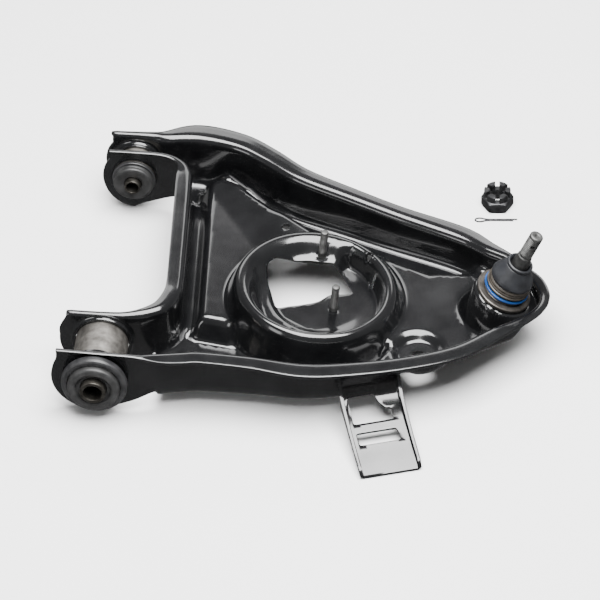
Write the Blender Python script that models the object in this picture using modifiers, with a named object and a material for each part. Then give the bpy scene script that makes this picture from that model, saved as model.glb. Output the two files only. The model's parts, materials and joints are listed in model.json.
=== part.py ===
"""Lower suspension control arm, built in metres with +Z up.

The pressed steel pan carries two rubber bushes on one horizontal axis, a spring pocket with two
shock-absorber studs, a bump-stop bracket and a pressed-in ball joint.  Its castle nut and cotter
pin lie beside it.  Shapes are laid out in arm coordinates: millimetres, +X from the bush axis
towards the ball joint, +Y along the bush axis towards the rear bush, +Z up from the bush axis.
"""
import math

import bmesh
import bpy
from mathutils import Matrix, Vector
from mathutils.geometry import delaunay_2d_cdt

MM = 0.001
WORLD_ORIGIN = Vector((196.4, -10.9, -42.0))  # arm coordinates of the world origin
GAP = 0.3

# Pressed pan.
SHEET = 3.6
BEND_R = 6.0
FILLET_R = 11.0
TIP_FILLET_R = 4.5
CHANNEL_Z = -27.0
PANEL_Z = -4.0
GRID = 16.0
WALL_SPACING = 19.0
BEND_STEPS = 2
EAR_R = 44.5
INNER_EAR_R = 43.3
REAR_EAR_R = 31.8
EAR_DROP = 41.8
REAR_EAR_DROP = 39.3
EAR_SLOPE = 0.43
# How far left each ear's straight upper corner reaches.
EAR_CORNER = 39.3
INNER_EAR_CORNER = 35.3
REAR_EAR_CORNER = 25.0

# Wall line, flange overhang and rim height: x, y, overhang, rim z.
OUTER_WALL = (
    (-45, -158.5, 4, 34), (-10, -158.5, 4, 34), (20, -158, 4, 33.5), (38, -157, 5, 33),
    (52, -153, 12, 32.5), (66, -149.5, 16.5, 32), (85, -145, 18, 31.5), (104, -141.5, 18, 31),
    (155, -140, 19, 28.5), (205, -140.5, 21, 25), (249, -130, 21, 22), (302, -111, 20, 18.5),
    (350, -86, 20, 16), (383, -55, 17, 14.5), (408, -35, 12, 14), (422, -20, 10, 14),
    (427.5, -2, 9.5, 14), (421, 18.5, 7.5, 14.5), (406.5, 34, 6, 15), (389, 47.5, 8, 16),
    (365, 59, 13, 15.5), (335, 75, 17, 15), (273, 95, 15.2, 18), (220, 113, 15.5, 21.7),
    (167, 131.5, 17.5, 25.3), (130, 152.5, 19.5, 28.5), (100, 166, 20.5, 31),
    (61, 171.5, 20.5, 32.5), (30, 168.0, 12, 32.5), (10, 170.5, 5, 32), (-33, 170.5, 3.5, 31),
)
INNER_WALL = (
    (-33, 145.5, 3.5, 32), (0, 145.5, 3.5, 33), (25, 145.5, 3.5, 33), (40, 144, 5, 32),
    (51, 139.5, 8.5, 31), (58, 129, 12, 30), (61, 113, 14.5, 30), (65, 60, 15, 30),
    (69, 0, 15, 30), (71.5, -40, 15, 30), (70.5, -60, 15, 30.5), (61, -82, 13.5, 31),
    (44, -94, 9.5, 31.5), (24, -99.5, 5, 31.5), (0, -101, 4, 31), (-45, -101, 4, 30),
)
FLOOR_START_FRONT = 60.0
FLOOR_START_REAR = 50.0

# Raised web between the two deep channels.
WEB_OUTLINE = (
    (88, -58), (97, -59), (126, -63), (203, -15), (280, -70), (266, -96), (254, -150),
    (330, -160), (470, -100), (470, 70), (378, 66), (345, 52), (311, 48), (256, 68),
    (208, 82), (173, 98), (147, 112), (128, 129), (110, 147), (90, 158), (72, 152),
)
WEB_BLEND = 18.0
# The web's far corner rises beyond a fold: a point on the fold, its normal, the rise and its run.
FOLD = (79.5, 133.4)
FOLD_NORMAL = (0.827, 0.562)
FOLD_RISE = 9.5
FOLD_RUN = 45.0
# Moat sunk round the ball-joint boss, beyond its foot.
MOAT_Z = -19.0
MOAT_WIDTH = 7.0

POCKET = (203.0, -15.0)
POCKET_TILT = -0.09
CREST_Z = 17.0
SEAT_Z = -8.0
COIL_RISE = 11.0   # the seat climbs this much round the spring's last coil
COIL_START = math.radians(65)
OPENING = (
    (150, 14), (153, 21), (159, 27), (168, 30.5), (180, 32.5), (192, 34.5), (203, 34.5),
    (213, 36), (222, 35), (229, 25), (236, 12), (232, 4), (217, 0), (205, -13), (190, -21),
    (178, -26), (166, -31), (161, -25), (156, -12), (152, 2),
)
DRAINS = ((161.4, 81.5, 4.2), (251.0, 40.0, 3.6), (257.0, 23.0, 3.6))
DIMPLE = (313.0, -72.0)
DIMPLE_HOLE_R = 7.0
STUDS = {"shock_stud_rear": (202.5, 42.8), "shock_stud_front": (221.5, -20.5)}
STUD_HEADS = {"shock_stud_rear": -4.4, "shock_stud_front": -2.4}

# Ball joint: centre of the housing flange, and the lean of its axis towards +X.
JOINT = Vector((391.0, 2.0, 16.5))
LEAN = math.radians(23.0)
BALL_DEPTH = 15.0
BOSS_R = 29.2
BOSS_FOOT_R = 35.5
BOSS_SHIFT = 5.5

# Bump-stop bracket.
BRACKET_ROOT = (269.0, -127.2)
BRACKET_TURN = math.radians(20.5)
BRACKET_WIDTH = 63.0

NUT_SPOT = (362.0, 194.0, -42.0)
NUT_CORNER_R = 16.4
NUT_TURN = math.radians(7.0)
SLOT_FLOOR = 12.4
PIN_SPOT = (364.0, 169.5, -41.3)
PIN_TURN = math.radians(6.7)

FRONT_FACE_Y = -160.3
REAR_FACE_Y = 143.7


def to_world(point):
    """World metres of a point in arm coordinates."""
    return (Vector(point) - WORLD_ORIGIN) * MM


def clear_scene():
    for obj in list(bpy.data.objects):
        bpy.data.objects.remove(obj, do_unlink=True)


def make_collection(name, parent=None):
    found = bpy.data.collections.new(name)
    (parent or bpy.context.scene.collection).children.link(found)
    return found


def make_material(name, colour, metallic, roughness):
    material = bpy.data.materials.new(name)
    material.use_nodes = True
    shader = material.node_tree.nodes["Principled BSDF"]
    shader.inputs["Base Color"].default_value = (*colour, 1.0)
    shader.inputs["Metallic"].default_value = metallic
    shader.inputs["Roughness"].default_value = roughness
    return material


def add_object(name, mesh, material, collection):
    obj = bpy.data.objects.new(name, mesh)
    collection.objects.link(obj)
    if material is not None:
        mesh.materials.append(material)
    return obj


def mesh_from(name, points, faces, merge=True):
    """A mesh from arm-coordinate points, with doubled points merged."""
    mesh = bpy.data.meshes.new(name)
    mesh.from_pydata([to_world(p) for p in points], [], faces)
    work = bmesh.new()
    work.from_mesh(mesh)
    if merge:
        bmesh.ops.remove_doubles(work, verts=work.verts, dist=0.00005)
    loose = [v for v in work.verts if not v.link_faces]
    bmesh.ops.delete(work, geom=loose, context="VERTS")
    bmesh.ops.recalc_face_normals(work, faces=work.faces)
    work.to_mesh(mesh)
    work.free()
    return mesh


def axis_frame(origin, axis, side=(1, 0, 0)):
    """A frame whose Z runs along axis and whose X is nearest to side, as a world matrix."""
    z = Vector(axis).normalized()
    x = Vector(side)
    x = (x - z * x.dot(z)).normalized()
    y = z.cross(x)
    turn = Matrix((x, y, z)).transposed().to_4x4()
    return Matrix.Translation(to_world(origin)) @ turn


def turned(name, profile, frame, steps, material, collection):
    """A turned piece: the profile (radius, height), top to bottom, screwed about the frame's Z."""
    points = [Vector((r * MM, 0.0, z * MM)) for r, z in profile]
    count = len(points)
    edges = [(i, i + 1) for i in range(count - 1)]
    if profile[0][0] > 0:
        edges.append((count - 1, 0))
    mesh = bpy.data.meshes.new(name)
    mesh.from_pydata(points, edges, [])
    obj = add_object(name, mesh, material, collection)
    obj.matrix_world = frame
    screw = obj.modifiers.new("turn", "SCREW")
    screw.steps = steps
    screw.render_steps = steps
    screw.use_merge_vertices = True
    screw.merge_threshold = 0.00005
    screw.use_smooth_shade = True
    return obj


def cylinder(name, radius, low, high, frame, collection, steps=32):
    """A plain closed cylinder along the frame's Z, used as a cutter or a boss."""
    profile = ((0, high), (radius, high), (radius, low), (0, low))
    return turned(name, profile, frame, steps, None, collection)


def helper(obj):
    obj.hide_render = True
    obj.display_type = "WIRE"
    return obj


def boolean(obj, other, operation):
    modifier = obj.modifiers.new(operation.lower() + "_" + other.name, "BOOLEAN")
    modifier.operation = operation
    modifier.solver = "EXACT"
    modifier.object = other


def smooth(t):
    t = min(1.0, max(0.0, t))
    return t * t * (3.0 - 2.0 * t)


def mix(a, b, t):
    return a + (b - a) * t


def polyline_distance(x, y, outline):
    """Distance to a closed outline: positive inside it."""
    best = 1e9
    inside = False
    for (ax, ay), (bx, by) in zip(outline, outline[1:] + outline[:1]):
        dx, dy = bx - ax, by - ay
        t = max(0.0, min(1.0, ((x - ax) * dx + (y - ay) * dy) / (dx * dx + dy * dy)))
        best = min(best, math.hypot(x - ax - t * dx, y - ay - t * dy))
        if (ay > y) != (by > y) and x < ax + (y - ay) * dx / dy:
            inside = not inside
    return best if inside else -best


def joint_plane(x):
    """Height of the tilted seat under the ball-joint flange."""
    return JOINT.z - 6.1 / math.cos(LEAN) - math.tan(LEAN) * (x - JOINT.x)


def web_height(x, y):
    """Mid-surface height of the pan's floor at a plan position."""
    raised = smooth(polyline_distance(x, y, WEB_OUTLINE) / WEB_BLEND + 0.5)
    beyond = (x - FOLD[0]) * FOLD_NORMAL[0] + (y - FOLD[1]) * FOLD_NORMAL[1]
    web = PANEL_Z - 4.0 * smooth((x - 230.0) / 60.0)
    web += FOLD_RISE * min(1.0, max(0.0, beyond / FOLD_RUN)) * (1.0 - smooth((x - 150.0) / 60.0))
    z = mix(CHANNEL_Z, web, raised)
    z = mix(z, -12.0, smooth((x - 345.0) / 35.0))
    z = mix(z, joint_plane(x), smooth((x - 398.0) / 18.0))
    r = math.hypot(x - DIMPLE[0], y - DIMPLE[1])
    z = mix(-15.5, z, smooth((r - 19.0) / 11.0))
    r = math.hypot(x - POCKET[0], y - POCKET[1])
    angle = math.atan2(y - POCKET[1], x - POCKET[0])
    tilt = POCKET_TILT * (x - POCKET[0])
    turn = (angle - COIL_START) / math.tau % 1.0
    coil = COIL_RISE * smooth((0.85 - turn) / 0.85) * smooth(turn / 0.035)
    coil *= smooth((r - 41.0) / 7.0)
    foot = mix(62.0, 51.0, smooth((0.5 - turn) / 0.2) * smooth(turn / 0.035))
    z = mix(CREST_Z + tilt, z, smooth((r - 75.0) / 17.0))
    z = mix(SEAT_Z + tilt + coil, z, smooth((r - foot) / (73.5 - foot)))
    inner = math.hypot((x - JOINT.x) / math.cos(LEAN), y - JOINT.y) - BOSS_R
    outer = BOSS_FOOT_R - math.hypot(x - JOINT.x + BOSS_SHIFT, y - JOINT.y)
    moat = mix(z, MOAT_Z, 1.0 - smooth((x - 386.0) / 22.0))
    z = mix(moat, z, smooth(-outer / MOAT_WIDTH))
    if inner <= 0.0:
        return joint_plane(x)
    return z if outer <= 0.0 else mix(joint_plane(x), z, smooth(inner / (inner + outer)))


def spline(points, spacing):
    """Points of a Catmull-Rom curve through points of any dimension, near an even spacing."""
    found = []
    count = len(points)
    for i in range(count - 1):
        p = [Vector(points[max(0, min(count - 1, k))]) for k in (i - 1, i, i + 1, i + 2)]
        length = (p[2].to_2d() - p[1].to_2d()).length
        steps = max(2, round(length / spacing))
        for k in range(steps):
            t = k / steps
            a = 2.0 * p[1]
            b = p[2] - p[0]
            c = 2.0 * p[0] - 5.0 * p[1] + 4.0 * p[2] - p[3]
            d = 3.0 * p[1] - 3.0 * p[2] + p[3] - p[0]
            found.append((a + b * t + c * t * t + d * t * t * t) * 0.5)
    found.append(Vector(points[-1]))
    return found


def ear_shape(y):
    """Round lug radius, upper corner's reach and drop of the ear plate at y."""
    if y > 0:
        return REAR_EAR_R, REAR_EAR_CORNER, REAR_EAR_DROP
    if y > -130:
        return INNER_EAR_R, INNER_EAR_CORNER, EAR_DROP
    return EAR_R, EAR_CORNER, EAR_DROP


def ear_low(x, rear):
    """Lowest z of the ear plate to the right of the bush axis."""
    if rear:
        return -REAR_EAR_DROP + EAR_SLOPE * max(0.0, x + 2.6)
    return -EAR_DROP + EAR_SLOPE * max(0.0, x - 2.0)


def wall_rows(station, inward, radius, is_ear, rear):
    """Mid-surface points from the flange edge, round the bend and down the wall."""
    x, y, over, rim = station
    wall = Vector((x, y, 0.0))
    side = Vector((inward.x, inward.y, 0.0))
    bend = min(BEND_R, over * 0.8)
    fillet = mix(FILLET_R, TIP_FILLET_R, smooth((x - 355.0) / 30.0))
    foot = web_height(x + inward.x * fillet, y + inward.y * fillet)
    rows = [wall - side * over + Vector((0, 0, rim - 0.6))]
    for k in range(BEND_STEPS + 1):
        a = math.pi / 2 * k / BEND_STEPS
        out = bend * (1.0 - math.sin(a))
        rows.append(wall - side * out + Vector((0, 0, rim - bend * (1.0 - math.cos(a)))))
    if is_ear:
        lug, corner, drop = ear_shape(y)
        rows += [Vector((x, y, (rim - bend) * 0.5)), Vector((x, y, 0.0))]
        if x > 0.0:
            low = Vector((x, y, ear_low(x, rear)))
        else:
            part = 1.0 + x / radius
            for row in rows:
                reach = max(corner, math.sqrt(max(0.0, lug ** 2 - row.z ** 2)))
                row.x = -reach * (1.0 - part)
            angle = part * math.pi / 2
            low = Vector((-lug * math.cos(angle), y, -drop * math.sin(angle)))
        count = BEND_STEPS + 1
        rows += [rows[-1].lerp(low, k / count) for k in range(1, count + 1)]
    else:
        height = min(foot + fillet, rim - bend - 1.5)
        rows += [wall + Vector((0, 0, mix(rim - bend, height, part))) for part in (0.4, 0.7)]
        for k in range(BEND_STEPS + 1):
            a = math.pi / 2 * k / BEND_STEPS
            out = fillet * (1.0 - math.cos(a))
            rows.append(wall + side * out + Vector((0, 0, mix(height, foot, math.sin(a)))))
    return rows


def wall_strip(chain, spacing, ears):
    """Columns of wall points along a chain, and which of them carry the floor."""
    stations = spline(chain, spacing)
    columns = []
    floors = []
    for i, station in enumerate(stations):
        ahead = stations[min(i + 1, len(stations) - 1)]
        behind = stations[max(i - 1, 0)]
        along = (ahead.to_2d() - behind.to_2d()).normalized()
        inward = Vector((-along.y, along.x))
        rear = station.y > 0
        limit = FLOOR_START_REAR if rear else FLOOR_START_FRONT
        is_ear = station.x < limit and abs(station.y) > ears
        radius = ear_shape(station.y)[0]
        if is_ear and station.x < 8:
            inward = Vector((0.0, round(inward.y)))
        if is_ear and station.x <= -radius + 1.0:
            station = Vector((-radius, *station[1:]))
        columns.append(wall_rows(station, inward, radius, is_ear, rear))
        floors.append(not is_ear)
    return columns, floors


def strip_faces(columns, start):
    faces = []
    height = len(columns[0])
    for i in range(len(columns) - 1):
        for k in range(height - 1):
            a = start + i * height + k
            faces.append((a, a + height, a + height + 1, a + 1))
    return faces


def ring(centre, radius, count, squeeze=1.0):
    """A closed loop of plan points round a centre."""
    angles = [math.tau * k / count for k in range(count)]
    x, y = centre
    return [Vector((x + radius / squeeze * math.cos(a), y + radius * math.sin(a))) for a in angles]


def pan_rings():
    """Loops that the floor mesh follows round the pocket, dimple and ball-joint boss."""
    rings = [(POCKET, r, 1.0, 40) for r in (41, 48, 60, 65, 69, 73.5, 76, 81, 86.5, 92)]
    rings += [(DIMPLE, r, 1.0, 16) for r in (13, 19, 24.5, 30)]
    rings += [((JOINT.x - BOSS_SHIFT, JOINT.y), BOSS_FOOT_R + d, 1.0, 28) for d in (3.5, 7.0)]
    lean = 1.0 / math.cos(LEAN)
    for part in (0.0, 0.25, 0.5, 0.75, 1.0):
        centre = (JOINT.x - BOSS_SHIFT * part, JOINT.y)
        rings.append((centre, mix(BOSS_R, BOSS_FOOT_R, part), mix(lean, 1.0, part), 24))
    return rings


def web_edge_points(spacing):
    """Plan points on lines beside the edge of the raised web."""
    found = []
    for (ax, ay), (bx, by) in zip(WEB_OUTLINE, WEB_OUTLINE[1:] + WEB_OUTLINE[:1]):
        length = math.hypot(bx - ax, by - ay)
        steps = max(1, round(length / spacing))
        for k in range(steps):
            t = (k + 0.5) / steps
            for offset in (-0.5, -0.17, 0.17, 0.5):
                away = offset * WEB_BLEND
                x = mix(ax, bx, t) - (by - ay) / length * away
                y = mix(ay, by, t) + (bx - ax) / length * away
                if abs(polyline_distance(x, y, WEB_OUTLINE) - away) < 0.6:
                    found.append(Vector((x, y)))
    return found


def pan_surface(grid):
    """Mid-surface of the whole pressing: two wall strips joined by the floor sheet."""
    outer, outer_floor = wall_strip(OUTER_WALL, WALL_SPACING, 120.0)
    inner, inner_floor = wall_strip(INNER_WALL, WALL_SPACING, 90.0)
    points = []
    faces = []
    boundary = []
    for columns, floors in ((outer, outer_floor), (inner, inner_floor)):
        start = len(points)
        height = len(columns[0])
        faces += strip_faces(columns, start)
        for i, column in enumerate(columns):
            points += column
            if floors[i]:
                boundary.append(start + i * height + height - 1)
    loop = [points[i].to_2d() for i in boundary]
    count = len(loop)
    edges = [(i, (i + 1) % count) for i in range(count)]
    plan = list(loop)
    corners = tuple((q.x, q.y) for q in loop)
    rings = pan_rings()
    for centre, radius, squeeze, steps in rings:
        first = len(plan)
        circle = ring(centre, radius, steps, squeeze)
        kept = [polyline_distance(p.x, p.y, corners) > 2.0 for p in circle]
        plan += circle
        for k in range(steps):
            if kept[k] and kept[(k + 1) % steps]:
                edges.append((first + k, first + (k + 1) % steps))
    for p in web_edge_points(grid * 0.7):
        near = min(math.hypot(p.x - c[0], p.y - c[1]) - r for c, r, _, _ in rings)
        if near > 4.0 and polyline_distance(p.x, p.y, corners) > 4.0:
            plan.append(p)
    x = 45.0
    while x < 430.0:
        y = -150.0
        while y < 172.0:
            near = min(abs(math.hypot(x - c[0], y - c[1]) - r) for c, r, _, _ in rings)
            edge = abs(polyline_distance(x, y, WEB_OUTLINE)) - WEB_BLEND / 2
            inside = polyline_distance(x, y, corners)
            if near > grid * 0.45 and inside > grid * 0.45 and edge > grid * 0.3:
                plan.append(Vector((x, y)))
            y += grid
        x += grid
    found = delaunay_2d_cdt(plan, edges, [], 0, 1e-4)
    placed, triangles, origins = found[0], found[2], found[3]
    lookup = {}
    for i, sources in enumerate(origins):
        kept = [s for s in sources if s < count]
        if kept:
            lookup[i] = boundary[kept[0]]
        else:
            lookup[i] = len(points)
            points.append(Vector((placed[i].x, placed[i].y, web_height(*placed[i]))))
    for triangle in triangles:
        middle = sum((placed[i] for i in triangle), Vector((0.0, 0.0))) / len(triangle)
        if polyline_distance(middle.x, middle.y, corners) > 0.0:
            faces.append(tuple(lookup[i] for i in triangle))
    return points, faces


def prism(name, outline, low, high, collection):
    """A closed prism over a plan outline, in arm coordinates."""
    count = len(outline)
    points = [Vector((x, y, low)) for x, y in outline] + [Vector((x, y, high)) for x, y in outline]
    faces = [tuple(range(count))[::-1], tuple(range(count, 2 * count))]
    faces += [(i, (i + 1) % count, count + (i + 1) % count, count + i) for i in range(count)]
    return add_object(name, mesh_from(name, points, faces), None, collection)


def bush_frame(y, outward):
    """A frame on the bush axis whose Z points outward along Y."""
    return axis_frame((0, y, 0), (0, outward, 0), (1, 0, 0.06))


def build_pan(parts, cutters, paint):
    points, faces = pan_surface(GRID)
    pan = add_object("arm_stamping", mesh_from("arm_stamping", points, faces), paint, parts)
    solid = pan.modifiers.new("sheet", "SOLIDIFY")
    solid.thickness = SHEET * MM
    solid.offset = 0.0
    solid.use_quality_normals = True
    cuts = [
        cylinder("front_bore", 28.6, -80, 20, bush_frame(-110, 1), cutters, 32),
        cylinder("rear_bore", 23.0, -40, 40, bush_frame(158, 1), cutters, 28),
        cylinder("joint_bore", 24.5 + GAP, -13, 6, joint_frame(), cutters, 40),
        cylinder("link_hole", DIMPLE_HOLE_R, -40, 40, axis_frame((*DIMPLE, 0), (0, 0, 1)),
                 cutters, 24),
        prism("pocket_opening", OPENING, -40, 20, cutters),
    ]
    for i, (x, y, radius) in enumerate(DRAINS):
        frame = axis_frame((x, y, 0), (0, 0, 1))
        cuts.append(cylinder(f"drain_{i}", radius, -40, 40, frame, cutters, 16))
    for name, (x, y) in STUDS.items():
        frame = stud_frame(x, y)
        cuts.append(cylinder(name + "_hole", 4.0 + GAP, -9, 12, frame, cutters, 20))
    for cut in cuts:
        boolean(pan, helper(cut), "DIFFERENCE")
    for name, y, outward, bore, length, steps in (
        ("front_collar", -101, -1, 26.5, 5.0, 32), ("near_collar", -158.5, 1, 26.5, 9.0, 32),
        ("rear_near_collar", 145.5, 1, 21.0, 7.0, 28), ("rear_far_collar", 170.5, -1, 21.0, 7.0, 28),
    ):
        low, r = -SHEET / 2 - 0.15, bore + GAP
        profile = ((r, length), (r + 2.6, length), (r + 3.3, length - 0.8), (r + 3.3, low), (r, low))
        tube = turned(name, profile, bush_frame(y, outward), steps, None, cutters)
        boolean(pan, helper(tube), "UNION")
    return pan


def stud_frame(x, y):
    """A frame on the pocket floor, square to the tilted seat."""
    return axis_frame((x, y, web_height(x, y)), (-POCKET_TILT, 0, 1))


def joint_frame(depth=0.0):
    axis = Vector((math.sin(LEAN), 0.0, math.cos(LEAN)))
    return axis_frame(JOINT + axis * depth, axis)


def build_bushes(parts, materials):
    """Steel outer sleeve, bonded rubber, steel inner sleeve and end washer for each bush."""
    steel, rubber, core, washer = materials
    out = bush_frame(0, -1)
    face = -FRONT_FACE_Y
    turned("front_bush_outer_sleeve", (
        (26.5, face + 1), (26.5, 92), (25.5, 91), (23.5, 91), (23.5, face + 1),
    ), out, 32, steel, parts)
    turned("front_bush_flange", (
        (27.0, face + 12.4), (31.2, face + 12.4), (32.8, face + 11.4), (33.5, face + 9),
        (33.3, face + 5), (31.6, face + 2.2), (30.6, face + 1.3), (24, face + 1.3),
        (24, face + 6), (27.0, face + 6),
    ), out, 36, washer, parts)
    turned("front_bush_rubber", (
        (20.5, face + 18.6), (24.4, face + 18.4), (26.0, face + 17.4), (26.6, face + 15.5),
        (26.6, face + 6.3), (23.7, face + 6.3), (23.7, face + 1.3), (23.2, face + 1), (23.2, 92),
        (21, 86), (16, 84), (13.5, 87), (13.5, face + 15.2), (15.2, face + 14.6),
        (17.2, face + 15.5), (18.5, face + 17.8),
    ), out, 32, rubber, parts)
    turned("front_bush_inner_sleeve", (
        (9.3, 183), (12.6, 183), (13.2, 182.4), (13.2, 78.6), (12.6, 78), (9.3, 78),
    ), out, 28, core, parts)
    face = REAR_FACE_Y
    rear = bush_frame(0, -1)
    turned("rear_bush_outer_sleeve", (
        (21, -face + 1), (21, -174), (20.4, -175), (18.5, -175), (18.5, -face + 1),
    ), rear, 28, steel, parts)
    turned("rear_bush_flange", (
        (20.6, -face + 4.6), (21.4, -face + 4.4), (21.9, -face + 3.6), (21.9, -face + 1.8), (21.4, -face + 1.3),
        (19, -face + 1.3), (19, -face + 4.6),
    ), rear, 28, washer, parts)
    turned("rear_bush_rubber", (
        (12.5, -face + 11.8), (17.5, -face + 12.6), (19.6, -face + 12.0), (20.2, -face + 10.4), (20.2, -face + 8.6),
        (19.6, -face + 8.0), (19.6, -face + 7.4), (20.2, -face + 6.8), (20.2, -face + 4.9), (18.7, -face + 4.9),
        (18.7, -face + 1.3), (18.2, -face + 1), (18.2, -174), (15, -178), (11, -178), (8.5, -175),
        (8.5, -face + 11.2),
    ), rear, 28, rubber, parts)
    turned("rear_bush_inner_sleeve", (
        (6.4, -126.5), (7.8, -126.5), (8.2, -127), (8.2, -190.5), (7.8, -191), (6.4, -191),
    ), rear, 24, core, parts)


def build_ball_joint(parts, materials):
    housing, seat, spring, stud, boot, ring_blue, zinc = materials
    frame = joint_frame()
    centre = -BALL_DEPTH
    turned("ball_joint_housing", (
        (19.6, 8.0), (20.6, 7.2), (20.6, 1.0), (21.3, 0.2), (27.6, 0.0), (28.5, -0.8),
        (28.5, -3.2), (28.0, -3.9), (25.0, -3.9), (24.5, -4.6), (24.5, -10.0), (20.4, -13.5),
        (20.2, -36.0), (19.0, -40.5), (16.0, -40.5), (16.0, -37.3), (17.2, -37.3),
        (17.2, -5.0), (14.2, -2.0), (14.2, 0.0), (18.6, 8.0),
    ), frame, 32, housing, parts)
    turned("ball_joint_cover", (
        (2.9, -37.6), (15.7, -37.6), (15.7, -40.5), (14.9, -41.5), (12, -43), (2.9, -44),
    ), frame, 32, housing, parts)
    ball_r = 13.0
    upper = [(12.6, -5.4), (16.9, -5.4), (16.9, centre + 0.2)]
    for k in range(7):
        a = math.radians(0.8 + 33.5 * k / 6)
        upper.append(((ball_r + GAP) * math.cos(a), centre + (ball_r + GAP) * math.sin(a)))
    turned("ball_seat_upper", upper, frame, 24, seat, parts)
    lower = [(16.9, centre - 0.2), (16.9, -32.0), (8.0, -32.0)]
    for k in range(7):
        a = math.radians(-60 + 59.2 * k / 6)
        lower.append(((ball_r + GAP) * math.cos(a), centre + (ball_r + GAP) * math.sin(a)))
    turned("ball_seat_lower", lower, frame, 24, seat, parts)
    turned("preload_spring", (
        (11, -32.3), (16.5, -34.6), (16.5, -37.0), (11, -34.7),
    ), frame, 24, spring, parts)
    turned("grease_fitting", (
        (0, -38.6), (2.2, -38.6), (2.6, -39), (2.6, -44.8), (5.2, -44.8), (5.2, -49.2),
        (2.6, -49.2), (2.6, -54.0), (3.3, -55.2), (3.3, -60.0), (1.8, -61.2), (0, -61.2),
    ), frame, 12, zinc, parts)
    build_stud(frame, stud, parts, ball_r, centre)
    turned("boot_clamp_ring", (
        (21.2, 6.6), (23.2, 6.3), (23.8, 5.5), (23.6, 4.3), (22.6, 3.7), (21.1, 3.7), (20.9, 4.2),
        (20.9, 6.2),
    ), frame, 32, ring_blue, parts)
    turned("dust_boot_lower", (
        (20.2, 17.4), (21.2, 17.0), (22.3, 15.4), (21.2, 13.8), (22.3, 12.2), (21.4, 10.9),
        (22.8, 9.9), (22.8, 8.3), (20.6, 8.3), (19.9, 8.8), (19.5, 12.2), (18.7, 13.8),
        (19.6, 15.4), (19.1, 17.2),
    ), frame, 28, boot, parts)
    boot_mesh = (
        (12.6, 37.6), (13.4, 37.2), (21.3, 23.2), (22.3, 20.6), (22.0, 18.7), (20.6, 17.8),
        (18.4, 17.7), (18.4, 18.8), (19.8, 19.8), (19.8, 21.4), (11.8, 35.6), (11.9, 37.2),
    )
    turned("dust_boot_upper", boot_mesh, frame, 28, boot, parts)
    turned("boot_lip_ring", (
        (12.0, 41.6), (13.4, 41.0), (13.8, 39.4), (13.4, 38.2), (12.4, 37.9), (9.9, 37.9),
        (9.9, 39.6), (11.2, 41.2),
    ), frame, 28, boot, parts)


def build_stud(frame, material, parts, ball_r, centre):
    """Ball, tapered shank and threaded end, with a cross hole for the cotter pin."""
    profile = [(0.9, 80.0), (2.2, 82.0), (5.9, 82.6), (7.0, 81.4)]
    z = 81.0
    while z > 56.0:
        profile += [(7.0, z), (6.4, z - 1.25)]
        z -= 2.5
    profile += [(6.2, 54.6), (6.2, 53.0), (7.6, 52.0), (9.5, 37.6), (9.5, 30), (7.0, 15)]
    neck = math.acos(7.0 / ball_r)
    for k in range(9):
        a = neck - (neck + math.radians(76)) * k / 8
        profile.append((ball_r * math.cos(a), centre + ball_r * math.sin(a)))
    last = profile[-1]
    profile = [(0, 80.0)] + profile + [(0, last[1])]
    stud = turned("ball_stud", profile, frame, 24, material, parts)
    cutters = bpy.data.collections["cutters"]
    axis = Vector((math.sin(LEAN), 0.0, math.cos(LEAN)))
    hole = cylinder("cotter_hole", 2.2, -12, 12, axis_frame(JOINT + axis * 70.5, (-0.12, 1, 0)),
                    cutters, 16)
    boolean(stud, helper(hole), "DIFFERENCE")


def bracket_profile():
    """Side view of the bracket plate: distance out from the wall, and height."""
    return ((1.5, 0.0), (2.5, -8.0), (7.0, -16.0), (16.0, -21.5), (30.0, -25.5), (48.0, -29.5),
            (66.0, -33.4), (84.0, -37.0), (99.0, -40.2))


def bracket_matrix():
    return (Matrix.Translation(Vector((*BRACKET_ROOT, 0.0)))
            @ Matrix.Rotation(BRACKET_TURN, 4, "Z"))


def build_bracket(parts, cutters, paint):
    """Channel-shaped bracket: a plate with two side flanges and two windows."""
    half = BRACKET_WIDTH / 2 - 1.5
    path = spline([(s, z) for s, z in bracket_profile()], 9.0)
    turn = bracket_matrix()
    points = []
    count = len(path)
    for i, p in enumerate(path):
        t = i / (count - 1)
        lift = mix(13.0, 7.0, smooth(t * 1.15))
        for across, up in ((-half, lift), (-half, lift * 0.5), (-half, 2.0), (-half + 2.0, 0.0),
                           (-11.0, 0.0), (11.0, 0.0),
                           (half - 2.0, 0.0), (half, 2.0), (half, lift * 0.5), (half, lift)):
            points.append(turn @ Vector((across, -p[0] - up * 0.35 * (1 - t), p[1] + up)))
    faces = []
    for i in range(count - 1):
        for k in range(9):
            a = i * 10 + k
            faces.append((a, a + 1, a + 11, a + 10))
    bracket = add_object("bump_stop_bracket", mesh_from("bump_stop_bracket", points, faces),
                         paint, parts)
    solid = bracket.modifiers.new("sheet", "SOLIDIFY")
    solid.thickness = 3.0 * MM
    solid.offset = 0.0
    solid.use_even_offset = True
    for name, low, high, near, far in (
        ("upper_window", -23, 18.5, 15, 46), ("lower_window", -23, 19, 58, 72),
    ):
        corners = [turn @ Vector((x, -y, 0)) for x, y in
                   ((low, near), (high, near), (high, far), (low, far))]
        cut = prism(name, [(c.x, c.y) for c in corners][::-1], -60, 30, cutters)
        boolean(bracket, helper(cut), "DIFFERENCE")


def build_shock_studs(parts, material):
    for name, (x, y) in STUDS.items():
        head = STUD_HEADS[name]
        profile = [(0, 32.5), (3.2, 32.5), (3.9, 31.6)]
        z = 31.0
        while z > 8.0:
            profile += [(3.95, z), (3.45, z - 1.0)]
            z -= 2.0
        profile += [(3.9, 6.0), (4.0, 2.6), (4.0, head), (6.2, head), (6.2, head - 2.5), (0, head - 2.5)]
        turned(name, profile, stud_frame(x, y), 12, material, parts)


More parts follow.
